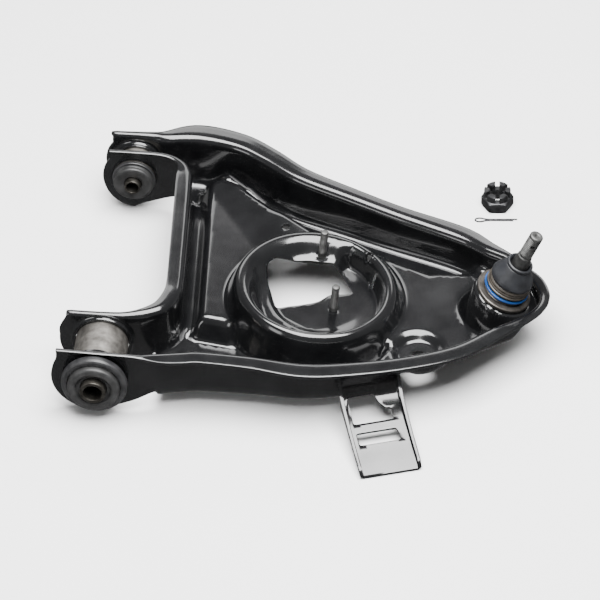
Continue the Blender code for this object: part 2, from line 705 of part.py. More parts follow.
def build_nut(parts, cutters, material):
    """Castle nut: hexagon below, a slotted round crown above."""
    x, y, floor = NUT_SPOT
    frame = axis_frame(NUT_SPOT, (0, 0, 1))
    nut = turned("castle_nut", (
        (12.6, 19.5), (13.5, 18.8), (13.5, 12.0), (14.1, 11.7), (16.4, 10.5), (16.4, 1.3),
        (14.2, 0.0), (8.2, 0.0), (7.3, 0.9), (7.3, 18.6), (8.2, 19.5),
    ), frame, 36, material, parts)
    angles = [NUT_TURN + math.tau * k / 6 for k in range(6)]
    corners = [(x + NUT_CORNER_R * math.cos(a), y + NUT_CORNER_R * math.sin(a)) for a in angles]
    hexagon = prism("hexagon", corners, floor - 18, 0, cutters)
    boolean(nut, helper(hexagon), "INTERSECT")
    for k in range(3):
        a = angles[k] + math.tau / 12
        along, across = Vector((math.cos(a), math.sin(a))), Vector((-math.sin(a), math.cos(a)))
        ends = [Vector((x, y)) + along * s + across * w for s, w in
                ((-20, -2.1), (20, -2.1), (20, 2.1), (-20, 2.1))]
        slot = prism(f"slot_{k}", ends, floor + SLOT_FLOOR, floor + 30, cutters)
        boolean(nut, helper(slot), "DIFFERENCE")


def build_cotter_pin(parts, material):
    """Split pin of half-round wire: an eye and two legs, one longer than the other."""
    eye = [(-17.0 - 4.4 * math.cos(a), 2.7 * math.sin(a)) for a in
           (math.radians(122 - 24.4 * k) for k in range(11))]
    path = [(21.0, 0.9), (-8.0, 0.9), *eye, (-8.0, -0.9), (17.0, -0.9)]
    curve = bpy.data.curves.new("cotter_pin", "CURVE")
    curve.dimensions = "3D"
    curve.bevel_depth = 0.7 * MM
    curve.bevel_resolution = 1
    curve.use_fill_caps = True
    strand = curve.splines.new("POLY")
    strand.points.add(len(path) - 1)
    for point, (x, y) in zip(strand.points, path):
        point.co = (x * MM, y * MM, 0.0, 1.0)
    pin = bpy.data.objects.new("cotter_pin", curve)
    pin.matrix_world = axis_frame(PIN_SPOT, (0, 0, 1), (math.cos(PIN_TURN), math.sin(PIN_TURN), 0))
    curve.materials.append(material)
    parts.objects.link(pin)


def main():
    clear_scene()
    parts = make_collection("control_arm")
    cutters = make_collection("cutters")
    paint = make_material("black_paint", (0.012, 0.012, 0.013), 0.0, 0.22)
    steel = make_material("sleeve_steel", (0.46, 0.44, 0.42), 0.9, 0.42)
    rubber = make_material("bush_rubber", (0.02, 0.02, 0.02), 0.0, 0.7)
    core = make_material("inner_sleeve_steel", (0.09, 0.085, 0.08), 0.8, 0.45)
    washer = make_material("bush_flange_paint", (0.02, 0.02, 0.021), 0.0, 0.4)
    housing = make_material("joint_housing_steel", (0.1, 0.095, 0.09), 0.8, 0.4)
    seat = make_material("joint_seat", (0.6, 0.58, 0.5), 0.0, 0.5)
    spring = make_material("spring_steel", (0.3, 0.3, 0.3), 0.9, 0.4)
    phosphate = make_material("stud_phosphate", (0.06, 0.06, 0.065), 0.6, 0.5)
    boot = make_material("boot_rubber", (0.03, 0.032, 0.036), 0.0, 0.55)
    blue = make_material("clamp_ring_blue", (0.02, 0.09, 0.25), 0.0, 0.4)
    zinc = make_material("fitting_zinc", (0.5, 0.48, 0.42), 0.9, 0.35)
    black_oxide = make_material("nut_black_oxide", (0.03, 0.03, 0.032), 0.7, 0.45)
    build_pan(parts, cutters, paint)
    build_bracket(parts, cutters, paint)
    build_bushes(parts, (steel, rubber, core, washer))
    build_ball_joint(parts, (housing, seat, spring, phosphate, boot, blue, zinc))
    build_shock_studs(parts, phosphate)
    build_nut(parts, cutters, black_oxide)
    build_cotter_pin(parts, black_oxide)


main()
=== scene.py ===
"""Looks of the lower control arm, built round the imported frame.

Lengths are millimetres in arm coordinates: +X from the bush axis to the ball joint, +Y along the
bush axis to the rear bush, +Z up from the bush axis.  place() turns them into metres in the frame.
"""
import json
import math

import bmesh
import bpy
import numpy as np
from mathutils import Matrix, Vector
from mathutils.geometry import delaunay_2d_cdt


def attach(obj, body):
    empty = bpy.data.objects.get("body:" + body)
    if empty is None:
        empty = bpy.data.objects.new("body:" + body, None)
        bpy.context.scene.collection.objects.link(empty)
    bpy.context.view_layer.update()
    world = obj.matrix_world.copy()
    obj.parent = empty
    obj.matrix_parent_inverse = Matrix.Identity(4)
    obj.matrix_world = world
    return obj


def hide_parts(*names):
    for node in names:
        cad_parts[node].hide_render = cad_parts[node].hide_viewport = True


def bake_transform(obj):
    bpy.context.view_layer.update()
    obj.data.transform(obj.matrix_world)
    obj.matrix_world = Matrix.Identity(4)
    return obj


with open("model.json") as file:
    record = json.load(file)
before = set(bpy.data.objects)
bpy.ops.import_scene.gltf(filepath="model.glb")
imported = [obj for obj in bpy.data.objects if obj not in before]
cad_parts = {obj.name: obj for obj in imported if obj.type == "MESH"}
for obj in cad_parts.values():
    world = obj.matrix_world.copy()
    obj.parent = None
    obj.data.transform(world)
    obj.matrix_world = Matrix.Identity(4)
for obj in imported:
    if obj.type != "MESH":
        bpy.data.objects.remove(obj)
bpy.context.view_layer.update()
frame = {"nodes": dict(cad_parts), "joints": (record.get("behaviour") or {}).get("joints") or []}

MM = 0.001
JOINTS = {joint["name"]: joint for joint in frame["joints"]}
FRONT_PIVOT = Vector(JOINTS["front_bush_turn"]["pos_m"])
FRONT_PIVOT_Y = -130.0
BALL_CENTRE = Vector(JOINTS["ball_tilt_travel"]["pos_m"])
STUD_AXIS = Vector(JOINTS["ball_spin"]["axis"]).normalized()
LEAN = math.atan2(STUD_AXIS.x, STUD_AXIS.z)

# Pressed pan: the driving sizes of the CAD pan, meshed more finely.
SHEET = 3.6
BEND_R = 6.0
FILLET_R = 11.0
TIP_FILLET_R = 4.5
CHANNEL_Z = -27.0
PANEL_Z = -4.0
# Mesh spacing of the floor and of the wall's columns, and rows round each bend and lug.
GRID = 3.6
WALL_SPACING = 3.5
BEND_STEPS = 6
EAR_STEPS = 16
LUG_STEPS = 7
LIP = 0.6   # how far the flange's edge hangs below its flat
# Ears that hold the bushes: the round lug's radius, its lowest point and the lower edge's slope.
EAR_R = 44.5
INNER_EAR_R = 43.3
REAR_EAR_R = 31.8
EAR_DROP = 41.8
REAR_EAR_DROP = 39.3
EAR_SLOPE = 0.43
# How far left each ear's straight upper corner reaches.
EAR_CORNER = 39.3
INNER_EAR_CORNER = 35.3
REAR_EAR_CORNER = 25.0

# Wall line, flange overhang and rim height: x, y, overhang, rim z.
OUTER_WALL = (
    (-45, -158.5, 4, 34), (-10, -158.5, 4, 34), (20, -158, 4, 33.5), (38, -157, 5, 33),
    (52, -153, 12, 32.5), (66, -149.5, 16.5, 32), (85, -145, 18, 31.5), (104, -141.5, 18, 31),
    (155, -140, 19, 28.5), (205, -140.5, 21, 25), (249, -130, 21, 22), (302, -111, 20, 18.5),
    (350, -86, 20, 16), (383, -55, 17, 14.5), (408, -35, 12, 14), (422, -20, 10, 14),
    (427.5, -2, 9.5, 14), (421, 18.5, 7.5, 14.5), (406.5, 34, 6, 15), (389, 47.5, 8, 16),
    (365, 59, 13, 15.5), (335, 75, 17, 15), (273, 95, 15.2, 18), (220, 113, 15.5, 21.7),
    (167, 131.5, 17.5, 25.3), (130, 152.5, 19.5, 28.5), (100, 166, 20.5, 31),
    (61, 171.5, 20.5, 32.5), (30, 168.0, 12, 32.5), (10, 170.5, 5, 32), (-33, 170.5, 3.5, 31),
)
INNER_WALL = (
    (-33, 145.5, 3.5, 32), (0, 145.5, 3.5, 33), (25, 145.5, 3.5, 33), (40, 144, 5, 32),
    (51, 139.5, 8.5, 31), (58, 129, 12, 30), (61, 113, 14.5, 30), (65, 60, 15, 30),
    (69, 0, 15, 30), (71.5, -40, 15, 30), (70.5, -60, 15, 30.5), (61, -82, 13.5, 31),
    (44, -94, 9.5, 31.5), (24, -99.5, 5, 31.5), (0, -101, 4, 31), (-45, -101, 4, 30),
)
# The floor joins the walls beyond these x.
FLOOR_START_FRONT = 60.0
FLOOR_START_REAR = 50.0

# Raised web between the two deep channels.  Pairs such as TIP_FLOOR are a start and a run.
WEB_OUTLINE = (
    (88, -58), (97, -59), (126, -63), (203, -15), (280, -70), (266, -96), (254, -150),
    (330, -160), (470, -100), (470, 70), (378, 66), (345, 52), (311, 48), (256, 68),
    (208, 82), (173, 98), (147, 112), (128, 129), (110, 147), (90, 158), (72, 152),
)
WEB_BLEND = 18.0
# The web sinks towards the ball joint: start, run and drop.
WEB_SINK = (230.0, 60.0, 4.0)
# The web's far corner rises beyond a fold: a point on the fold, its normal, the rise and its run.
FOLD = (79.5, 133.4)
FOLD_NORMAL = (0.827, 0.562)
FOLD_RISE = 9.5
FOLD_RUN = 45.0
FOLD_FADE = (150.0, 60.0)
# The floor levels out before the ball joint, then climbs onto its tilted seat.
TIP_FLOOR_Z = -12.0
TIP_FLOOR = (345.0, 35.0)
SEAT_CLIMB = (398.0, 18.0)
# Moat sunk round the ball-joint boss, beyond its foot.
MOAT_Z = -19.0
MOAT_WIDTH = 7.0
MOAT_FADE = (386.0, 22.0)

# Spring pocket: the crest's ridge lies between CREST_R, where its outer slope starts, and
# INNER_WALL_R, where the wall down to the seat starts.
POCKET = (203.0, -15.0)
POCKET_TILT = -0.09
CREST_Z = 17.0
CREST_R = 75.0
CREST_RUN = 17.0
INNER_WALL_R = 73.5
SEAT_R = 62.0
NARROW_SEAT_R = 51.0
SEAT_Z = -8.0
# The seat steps up by COIL_RISE at COIL_START, within COIL_STEP of a turn, and falls back over
# COIL_SHARE of a turn, as the spring's last coil does.  It is narrow up to NARROW_SHARE of a
# turn, and the rise starts beyond COIL_FLAT from the pocket's centre.
COIL_RISE = 11.0
COIL_START = math.radians(65)
COIL_SHARE = 0.85
COIL_STEP = 0.035
NARROW_SHARE = 0.5
COIL_FLAT = (41.0, 7.0)
# Irregular opening through the seat.
OPENING = (
    (150, 14), (153, 21), (159, 27), (168, 30.5), (180, 32.5), (192, 34.5), (203, 34.5),
    (213, 36), (222, 35), (229, 25), (236, 12), (232, 4), (217, 0), (205, -13), (190, -21),
    (178, -26), (166, -31), (161, -25), (156, -12), (152, 2),
)
# Drain holes: x, y and radius.
DRAINS = ((161.4, 81.5, 4.2), (251.0, 40.0, 3.6), (257.0, 23.0, 3.6))
# Round dimple in the web with the link's hole in it.
DIMPLE = (313.0, -72.0)
DIMPLE_Z = -15.5
DIMPLE_WALL = (19.0, 11.0)
DIMPLE_HOLE_R = 7.0
STUD_HOLE_R = 4.3
STUDS = {"shock_stud_rear": (202.5, 42.8), "shock_stud_front": (221.5, -20.5)}
STUD_HEADS = {"shock_stud_rear": -4.4, "shock_stud_front": -2.4}

# Ball joint: depths of the ball and of the mid-surface of its seat, below the flange's top.
JOINT_DEPTH = 15.0
BOSS_DEPTH = 6.1
BALL_R = 13.0
BOSS_R = 29.2
BOSS_FOOT_R = 35.5
BOSS_SHIFT = 5.5
JOINT_BORE_R = 24.8

# Distance from the origin, along the bush axis, of each bush's end face.
FRONT_FACE = 160.3
REAR_FACE = 143.7

# Castle nut and cotter pin beside the arm.
NUT_SPOT = (362.0, 194.0, -42.0)
NUT_CORNER_R = 16.4
NUT_TURN = math.radians(7.0)
SLOT_FLOOR = 12.4
PIN_SPOT = (364.0, 169.5, -41.3)
PIN_TURN = math.radians(6.7)

# Camera: the picture's right and up axes, the lens in millimetres and the distance in metres.
VIEW_RIGHT = (0.9925, 0.122, 0.0)
VIEW_UP = (-0.0815, 0.664, 0.743)
CAMERA_LENS = 1200.0
CAMERA_DISTANCE = 20.0

# Bump-stop bracket.
BRACKET_ROOT = (269.0, -127.2)
BRACKET_TURN = math.radians(20.5)
BRACKET_HALF = 31.5
BRACKET_SHEET = 3.0
# Side view of the plate: distance out from the wall and height.
BRACKET_PATH = ((1.5, 0.0), (2.5, -8.0), (7.0, -16.0), (16.0, -21.5), (30.0, -25.5),
                (48.0, -29.5), (66.0, -33.4), (84.0, -37.0), (99.0, -40.2))
BRACKET_FOLD_R = 2.5


def place(point):
    """Frame position, in metres, of a point in arm coordinates."""
    x, y, z = point
    return FRONT_PIVOT + Vector((x, y - FRONT_PIVOT_Y, z)) * MM


def arm_point(position):
    """Arm coordinates of a frame position."""
    return (position - FRONT_PIVOT) / MM + Vector((0.0, FRONT_PIVOT_Y, 0.0))


JOINT = arm_point(BALL_CENTRE + STUD_AXIS * JOINT_DEPTH * MM)


def smooth(t):
    t = np.clip(t, 0.0, 1.0)
    return t * t * (3.0 - 2.0 * t)


def ramp(t, corner=0.3):
    """A straight slope from 0 to 1, rounded at both ends over the share corner of its length."""
    t = np.clip(t, 0.0, 1.0)
    top = 1.0 / (1.0 - corner)
    low = top * t * t / (2.0 * corner)
    high = 1.0 - top * (1.0 - t) ** 2 / (2.0 * corner)
    middle = top * (t - corner / 2.0)
    return np.where(t < corner, low, np.where(t > 1.0 - corner, high, middle))


def ease(value, span):
    """0 up to the span's start and 1 from its end; a span is a start and a run."""
    return smooth((value - span[0]) / span[1])


def mix(a, b, t):
    return a + (b - a) * t


def outline_distance(x, y, outline):
    """Distance of each point to a closed outline, positive inside it."""
    x, y = np.atleast_1d(np.asarray(x, float)), np.atleast_1d(np.asarray(y, float))
    a = np.array(outline, float)
    b = np.roll(a, -1, axis=0)
    step = b - a
    away_x = x[:, None] - a[None, :, 0]
    away_y = y[:, None] - a[None, :, 1]
    t = np.clip((away_x * step[:, 0] + away_y * step[:, 1]) / (step ** 2).sum(1), 0.0, 1.0)
    gap = np.hypot(away_x - t * step[:, 0], away_y - t * step[:, 1]).min(1)
    spans = (a[:, 1] > y[:, None]) != (b[:, 1] > y[:, None])
    rise = np.where(step[:, 1] == 0.0, 1.0, step[:, 1])
    left = x[:, None] < a[None, :, 0] + away_y * step[:, 0] / rise
    inside = (spans & left).sum(1) % 2 == 1
    return np.where(inside, gap, -gap)


def joint_plane(x):
    """Height of the tilted seat under the ball-joint flange."""
    return JOINT.z - BOSS_DEPTH / math.cos(LEAN) - math.tan(LEAN) * (x - JOINT.x)


def web_height(x, y):
    """Mid-surface height of the pan's floor at plan positions."""
    x, y = np.atleast_1d(np.asarray(x, float)), np.atleast_1d(np.asarray(y, float))
    raised = smooth(outline_distance(x, y, WEB_OUTLINE) / WEB_BLEND + 0.5)
    beyond = (x - FOLD[0]) * FOLD_NORMAL[0] + (y - FOLD[1]) * FOLD_NORMAL[1]
    web = PANEL_Z - WEB_SINK[2] * ease(x, WEB_SINK)
    web = web + FOLD_RISE * ramp(beyond / FOLD_RUN, 0.08) * (1.0 - ease(x, FOLD_FADE))
    z = mix(CHANNEL_Z, web, raised)
    z = mix(z, TIP_FLOOR_Z, ease(x, TIP_FLOOR))
    z = mix(z, joint_plane(x), ease(x, SEAT_CLIMB))
    r = np.hypot(x - DIMPLE[0], y - DIMPLE[1])
    z = mix(DIMPLE_Z, z, ease(r, DIMPLE_WALL))
    r = np.hypot(x - POCKET[0], y - POCKET[1])
    angle = np.arctan2(y - POCKET[1], x - POCKET[0])
    tilt = POCKET_TILT * (x - POCKET[0])
    turn = (angle - COIL_START) / math.tau % 1.0
    step = ramp(turn / COIL_STEP, 0.3)
    coil = COIL_RISE * ramp((COIL_SHARE - turn) / COIL_SHARE, 0.2) * step
    coil = coil * ease(r, COIL_FLAT)
    foot = mix(SEAT_R, NARROW_SEAT_R, ramp((NARROW_SHARE - turn) / 0.2, 0.3) * step)
    z = mix(CREST_Z + tilt, z, ramp((r - CREST_R) / CREST_RUN, 0.4))
    z = mix(SEAT_Z + tilt + coil, z, ramp((r - foot) / (INNER_WALL_R - foot), 0.4))
    inner = np.hypot((x - JOINT.x) / math.cos(LEAN), y - JOINT.y) - BOSS_R
    outer = BOSS_FOOT_R - np.hypot(x - JOINT.x + BOSS_SHIFT, y - JOINT.y)
    moat = mix(z, MOAT_Z, 1.0 - ease(x, MOAT_FADE))
    z = mix(moat, z, ramp(np.maximum(-outer, 0.0) / MOAT_WIDTH, 0.35))
    across = np.clip(inner, 0.0, None) / np.maximum(inner + outer, 1e-6)
    boss = mix(joint_plane(x), z, ramp(across))
    return np.where(inner <= 0.0, joint_plane(x), np.where(outer <= 0.0, z, boss))


def spline(points, spacing, closed=False):
    """Points of a Catmull-Rom curve through points of any dimension, near an even spacing."""
    found = []
    count = len(points)
    for i in range(count if closed else count - 1):
        picks = (i - 1, i, i + 1, i + 2)
        if closed:
            p = [np.array(points[k % count], float) for k in picks]
        else:
            p = [np.array(points[max(0, min(count - 1, k))], float) for k in picks]
        steps = max(2, round(float(np.hypot(*(p[2] - p[1])[:2])) / spacing))
        for k in range(steps):
            t = k / steps
            a = 2.0 * p[1]
            b = p[2] - p[0]
            c = 2.0 * p[0] - 5.0 * p[1] + 4.0 * p[2] - p[3]
            d = 3.0 * p[1] - 3.0 * p[2] + p[3] - p[0]
            found.append((a + b * t + c * t * t + d * t * t * t) * 0.5)
    if not closed:
        found.append(np.array(points[-1], float))
    return found


# Meshes and objects -------------------------------------------------------------------------

def clean_mesh(name, points, faces, merge):
    """A mesh with doubled points merged, loose ones dropped and faces turned out."""
    mesh = bpy.data.meshes.new(name)
    mesh.from_pydata(points, [], faces)
    work = bmesh.new()
    work.from_mesh(mesh)
    bmesh.ops.remove_doubles(work, verts=work.verts, dist=merge * MM)
    bmesh.ops.delete(work, geom=[v for v in work.verts if not v.link_faces], context="VERTS")
    bmesh.ops.recalc_face_normals(work, faces=work.faces)
    work.to_mesh(mesh)
    work.free()
    return mesh


def mesh_from(name, points, faces):
    """A clean mesh from points in arm coordinates."""
    return clean_mesh(name, [place(p) for p in points], faces, 0.02)


def linked(name, data):
    """A new object in the scene."""
    obj = bpy.data.objects.new(name, data)
    bpy.context.scene.collection.objects.link(obj)
    return obj


def add_sheet(obj, thickness):
    """Gives a surface an even thickness about its middle."""
    solid = obj.modifiers.new("sheet", "SOLIDIFY")
    solid.thickness = thickness * MM
    solid.offset = 0.0
    return solid


def add_boolean(obj, other, operation="DIFFERENCE"):
    cut = obj.modifiers.new(other.name, "BOOLEAN")
    cut.operation = operation
    cut.solver = "EXACT"
    cut.object = other


def soften_edges(obj, width, angle=55):
    """Rounds the edges that are sharper than an angle in degrees."""
    edge = obj.modifiers.new("edge", "BEVEL")
    edge.width = width * MM
    edge.segments = 2
    edge.limit_method = "ANGLE"
    edge.angle_limit = math.radians(angle)


def finished_mesh(obj, helpers=()):
    """The object's evaluated mesh; the object and its helpers are removed."""
    graph = bpy.context.evaluated_depsgraph_get()
    mesh = bpy.data.meshes.new_from_object(obj.evaluated_get(graph))
    for each in (*helpers, obj):
        bpy.data.objects.remove(each)
    return mesh


def add_piece(name, mesh, body, material, node=None, sharp=40.0):
    """A smooth-shaded piece that rides on a body and stands for a CAD node."""
    obj = linked(name, mesh)
    mesh.materials.clear()
    mesh.materials.append(material)
    for face in mesh.polygons:
        face.use_smooth = True
    mesh.set_sharp_from_angle(angle=math.radians(sharp))
    if body is not None:
        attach(obj, body)
    if node is not None:
        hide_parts(node)
    return obj


def axis_frame(origin, axis, side=(1, 0, 0)):
    """A frame whose Z runs along axis and whose X is nearest to side."""
    z = Vector(axis).normalized()
    x = Vector(side)
    x = (x - z * x.dot(z)).normalized()
    turn = Matrix((x, z.cross(x), z)).transposed().to_4x4()
    return Matrix.Translation(place(origin)) @ turn


def rounded(profile, radius, steps=4):
    """A closed profile with each corner rounded to at most radius."""
    found = []
    count = len(profile)
    for i in range(count):
        here = Vector(profile[i])
        back = Vector(profile[i - 1]) - here
        ahead = Vector(profile[(i + 1) % count]) - here
        bend = math.pi - back.angle(ahead)
        if bend < 0.12 or here.x < 1e-6:
            found.append(tuple(here))
            continue
        cut = radius * math.tan(bend / 2)
        cut = min(cut, back.length * 0.45, ahead.length * 0.45)
        start = here + back.normalized() * cut
        end = here + ahead.normalized() * cut
        for k in range(steps + 1):
            t = k / steps
            found.append(tuple(start * (1 - t) ** 2 + here * 2 * t * (1 - t) + end * t * t))
    return found


def turned_mesh(name, profile, steps=96, radius=0.5, wobble=None):
    """A closed turned mesh about local Z, in metres.  wobble(angle, r, z) may move each point."""
    loop = rounded(profile, radius) if radius else list(profile)
    on_axis = loop[0][0] < 1e-6
    points = []
    for k in range(steps):
        a = math.tau * k / steps
        for r, z in loop:
            if wobble is not None:
                r, z = wobble(a, r, z)
            points.append(Vector((r * math.cos(a), r * math.sin(a), z)) * MM)
    count = len(loop)
    faces = []
    for k in range(steps):
        here, there = k * count, (k + 1) % steps * count
        for i in range(count - 1 if on_axis else count):
            j = (i + 1) % count
            faces.append((here + i, there + i, there + j, here + j))
    return clean_mesh(name, points, faces, 0.005)


def turned(name, profile, where, body, material, node=None, steps=96, radius=0.5,
           wobble=None, sharp=40.0):
    mesh = turned_mesh(name, profile, steps, radius, wobble)
    mesh.transform(where)
    return add_piece(name, mesh, body, material, node, sharp)


# Materials ----------------------------------------------------------------------------------

class Finish:
    """A Principled material whose colour, roughness and bump vary over the object."""

    def __init__(self, name, metallic=0.0, coat=0.0, coat_roughness=0.1):
        self.material = bpy.data.materials.new(name)
        self.material.use_nodes = True
        self.tree = self.material.node_tree
        self.shader = self.tree.nodes["Principled BSDF"]
        self.shader.inputs["Metallic"].default_value = metallic
        self.shader.inputs["Coat Weight"].default_value = coat
        self.shader.inputs["Coat Roughness"].default_value = coat_roughness
        self.shader.inputs["Sheen Weight"].default_value = 0.0
        self.shader.inputs["IOR"].default_value = 1.5
        self.where = self.tree.nodes.new("ShaderNodeTexCoord").outputs["Object"]
        self.bumps = None

    def noise(self, scale, detail=3.0, stretch=None):
        """Noise over the object; scale is in features per metre, stretch an (x, y, z) factor."""
        node = self.tree.nodes.new("ShaderNodeTexNoise")
        node.inputs["Scale"].default_value = scale
        node.inputs["Detail"].default_value = detail
        node.inputs["Roughness"].default_value = 0.55
        source = self.where
        if stretch is not None:
            mapping = self.tree.nodes.new("ShaderNodeMapping")
            mapping.inputs["Scale"].default_value = stretch
            self.tree.links.new(self.where, mapping.inputs["Vector"])
            source = mapping.outputs["Vector"]
        self.tree.links.new(source, node.inputs["Vector"])
        return node.outputs["Fac"]

    def spread(self, value, low, high, start=0.3, end=0.7):
        node = self.tree.nodes.new("ShaderNodeMapRange")
        node.inputs["From Min"].default_value = start
        node.inputs["From Max"].default_value = end
        node.inputs["To Min"].default_value = low
        node.inputs["To Max"].default_value = high
        self.tree.links.new(value, node.inputs["Value"])
        return node.outputs["Result"]

    def colour(self, value, first, second, start=0.35, end=0.65):
        node = self.tree.nodes.new("ShaderNodeValToRGB")
        node.color_ramp.elements[0].position = start
        node.color_ramp.elements[0].color = (*first, 1.0)
        node.color_ramp.elements[1].position = end
        node.color_ramp.elements[1].color = (*second, 1.0)
        self.tree.links.new(value, node.inputs["Fac"])
        self.tree.links.new(node.outputs["Color"], self.shader.inputs["Base Color"])
        return self

    def roughness(self, value, low, high):
        self.tree.links.new(self.spread(value, low, high), self.shader.inputs["Roughness"])
        return self

    def bump(self, value, depth, strength=1.0):
        """Adds relief of the given depth in millimetres."""
        node = self.tree.nodes.new("ShaderNodeBump")
        node.inputs["Strength"].default_value = strength
        node.inputs["Distance"].default_value = depth * MM
        self.tree.links.new(value, node.inputs["Height"])
        if self.bumps is not None:
            self.tree.links.new(self.bumps, node.inputs["Normal"])
        self.bumps = node.outputs["Normal"]
        self.tree.links.new(self.bumps, self.shader.inputs["Normal"])
        return self


def gloss_paint():
    """Black dipped coating: a slight orange peel over broad shallow waves in the steel."""
    f = Finish("black_paint", coat=0.6, coat_roughness=0.07)
    f.colour(f.noise(40), (0.0035, 0.0036, 0.004), (0.0065, 0.0067, 0.0072))
    f.roughness(f.noise(26, 4), 0.12, 0.2)
    f.bump(f.noise(700, 2), 0.012, 0.3)
    f.bump(f.noise(38, 2), 0.5, 0.16)
    return f.material


def satin_metal(name, dark, light, low, high, metallic=0.9, grain=(1, 1, 1), scale=120):
    """Bare or plated steel with turning marks along one direction and faint smudges."""
    f = Finish(name, metallic=metallic)
    f.colour(f.noise(scale, 5), dark, light)
    f.roughness(f.noise(scale * 0.6, 4), low, high)
    f.bump(f.noise(900, 3, grain), 0.03, 0.5)
    return f.material


def moulded_rubber(name, dark, light, low=0.5, high=0.72):
    f = Finish(name)
    f.colour(f.noise(90, 5), dark, light)
    f.roughness(f.noise(60, 4), low, high)
    f.bump(f.noise(1400, 3), 0.03, 0.6)
    return f.material


def make_materials():
    return {
        "paint": gloss_paint(),
        "sleeve": satin_metal("sleeve_steel", (0.13, 0.122, 0.112), (0.25, 0.238, 0.22), 0.38, 0.55,
                              grain=(1, 0.08, 1)),
        "core": satin_metal("inner_sleeve_steel", (0.04, 0.037, 0.032), (0.1, 0.094, 0.084),
                            0.35, 0.5),
        "rubber": moulded_rubber("bush_rubber", (0.012, 0.012, 0.012), (0.028, 0.028, 0.028),
                                 0.38, 0.55),
        "washer": moulded_rubber("bush_flange_paint", (0.012, 0.012, 0.013), (0.03, 0.03, 0.031),
                                 0.3, 0.45),
        "housing": satin_metal("joint_housing_steel", (0.055, 0.05, 0.045), (0.12, 0.11, 0.1),
                               0.32, 0.48, 0.85),
        "seat": moulded_rubber("joint_seat", (0.5, 0.47, 0.38), (0.62, 0.59, 0.5)),
        "spring": satin_metal("spring_steel", (0.22, 0.22, 0.22), (0.4, 0.4, 0.4), 0.3, 0.45),
        "stud": satin_metal("stud_phosphate", (0.022, 0.022, 0.022), (0.06, 0.06, 0.059), 0.4, 0.6,
                            0.7),
        "thread": satin_metal("thread_phosphate", (0.055, 0.055, 0.054), (0.12, 0.12, 0.117), 0.4,
                              0.58, 0.75),
        "boot": moulded_rubber("boot_rubber", (0.006, 0.0065, 0.008), (0.014, 0.015, 0.018), 0.36,
                               0.5),
        "bellows": moulded_rubber("bellows_rubber", (0.022, 0.018, 0.014), (0.045, 0.038, 0.03),
                                  0.36, 0.5),
        "blue": moulded_rubber("clamp_ring_blue", (0.003, 0.03, 0.12), (0.006, 0.05, 0.19), 0.25,
                               0.4),
        "zinc": satin_metal("fitting_zinc", (0.4, 0.37, 0.28), (0.6, 0.57, 0.47), 0.28, 0.42),
        "oxide": satin_metal("nut_black_oxide", (0.012, 0.012, 0.013), (0.035, 0.035, 0.037),
                             0.3, 0.48, 0.6),
    }


# Pressed pan --------------------------------------------------------------------------------

def ear_shape(y):
    """Round lug radius, upper corner's reach and drop of the ear plate at y."""
    if y > 0:
        return REAR_EAR_R, REAR_EAR_CORNER, REAR_EAR_DROP
    if y > -130:
        return INNER_EAR_R, INNER_EAR_CORNER, EAR_DROP
    return EAR_R, EAR_CORNER, EAR_DROP


def ear_low(x, rear):
    """Lowest z of the ear plate to the right of the bush axis."""
    if rear:
        return -REAR_EAR_DROP + EAR_SLOPE * max(0.0, x + 2.6)
    return -EAR_DROP + EAR_SLOPE * max(0.0, x - 2.0)


def wall_rows(station, inward, radius, is_ear, rear):
    """Mid-surface points from the flange edge, round the bend and down the wall."""
    x, y, over, rim = station
    wall = Vector((x, y, 0.0))
    side = Vector((*inward, 0.0))
    bend = min(BEND_R, over * 0.8)
    fillet = float(mix(FILLET_R, TIP_FILLET_R, smooth((x - 355.0) / 30.0)))
    foot = float(web_height(x + inward[0] * fillet, y + inward[1] * fillet)[0])
    rows = []
    flat = over - bend
    for k in range(3):
        rows.append(wall - side * (over - flat * k / 3) + Vector((0, 0, rim - LIP + LIP / 3 * k)))
    for k in range(BEND_STEPS + 1):
        a = math.pi / 2 * k / BEND_STEPS
        out = bend * (1.0 - math.sin(a))
        rows.append(wall - side * out + Vector((0, 0, rim - bend * (1.0 - math.cos(a)))))
    height = min(foot + fillet, rim - bend - 1.5)
    if is_ear:
        lug, corner, drop = ear_shape(y)
        top = rim - bend
        heights = [top * (1.0 - k / LUG_STEPS) for k in range(1, LUG_STEPS + 1)]
        rows += [Vector((x, y, z)) for z in heights]
        if x > 0.0:
            low = Vector((x, y, ear_low(x, rear)))
        else:
            part = 1.0 + x / radius
            for row in rows:
                reach = max(corner, math.sqrt(max(0.0, lug ** 2 - row.z ** 2)))
                row.x = -reach * (1.0 - part)
            angle = part * math.pi / 2
            low = Vector((-lug * math.cos(angle), y, -drop * math.sin(angle)))
        top = rows[-1].copy()
        steps = EAR_STEPS - LUG_STEPS
        rows += [top.lerp(low, k / steps) for k in range(1, steps + 1)]
        return rows
    for k in range(1, EAR_STEPS - BEND_STEPS):
        rows.append(wall + Vector((0, 0, mix(rim - bend, height, k / (EAR_STEPS - BEND_STEPS)))))
    for k in range(BEND_STEPS + 1):
        a = math.pi / 2 * k / BEND_STEPS
        out = fillet * (1.0 - math.cos(a))
        rows.append(wall + side * out + Vector((0, 0, mix(height, foot, math.sin(a)))))
    return rows


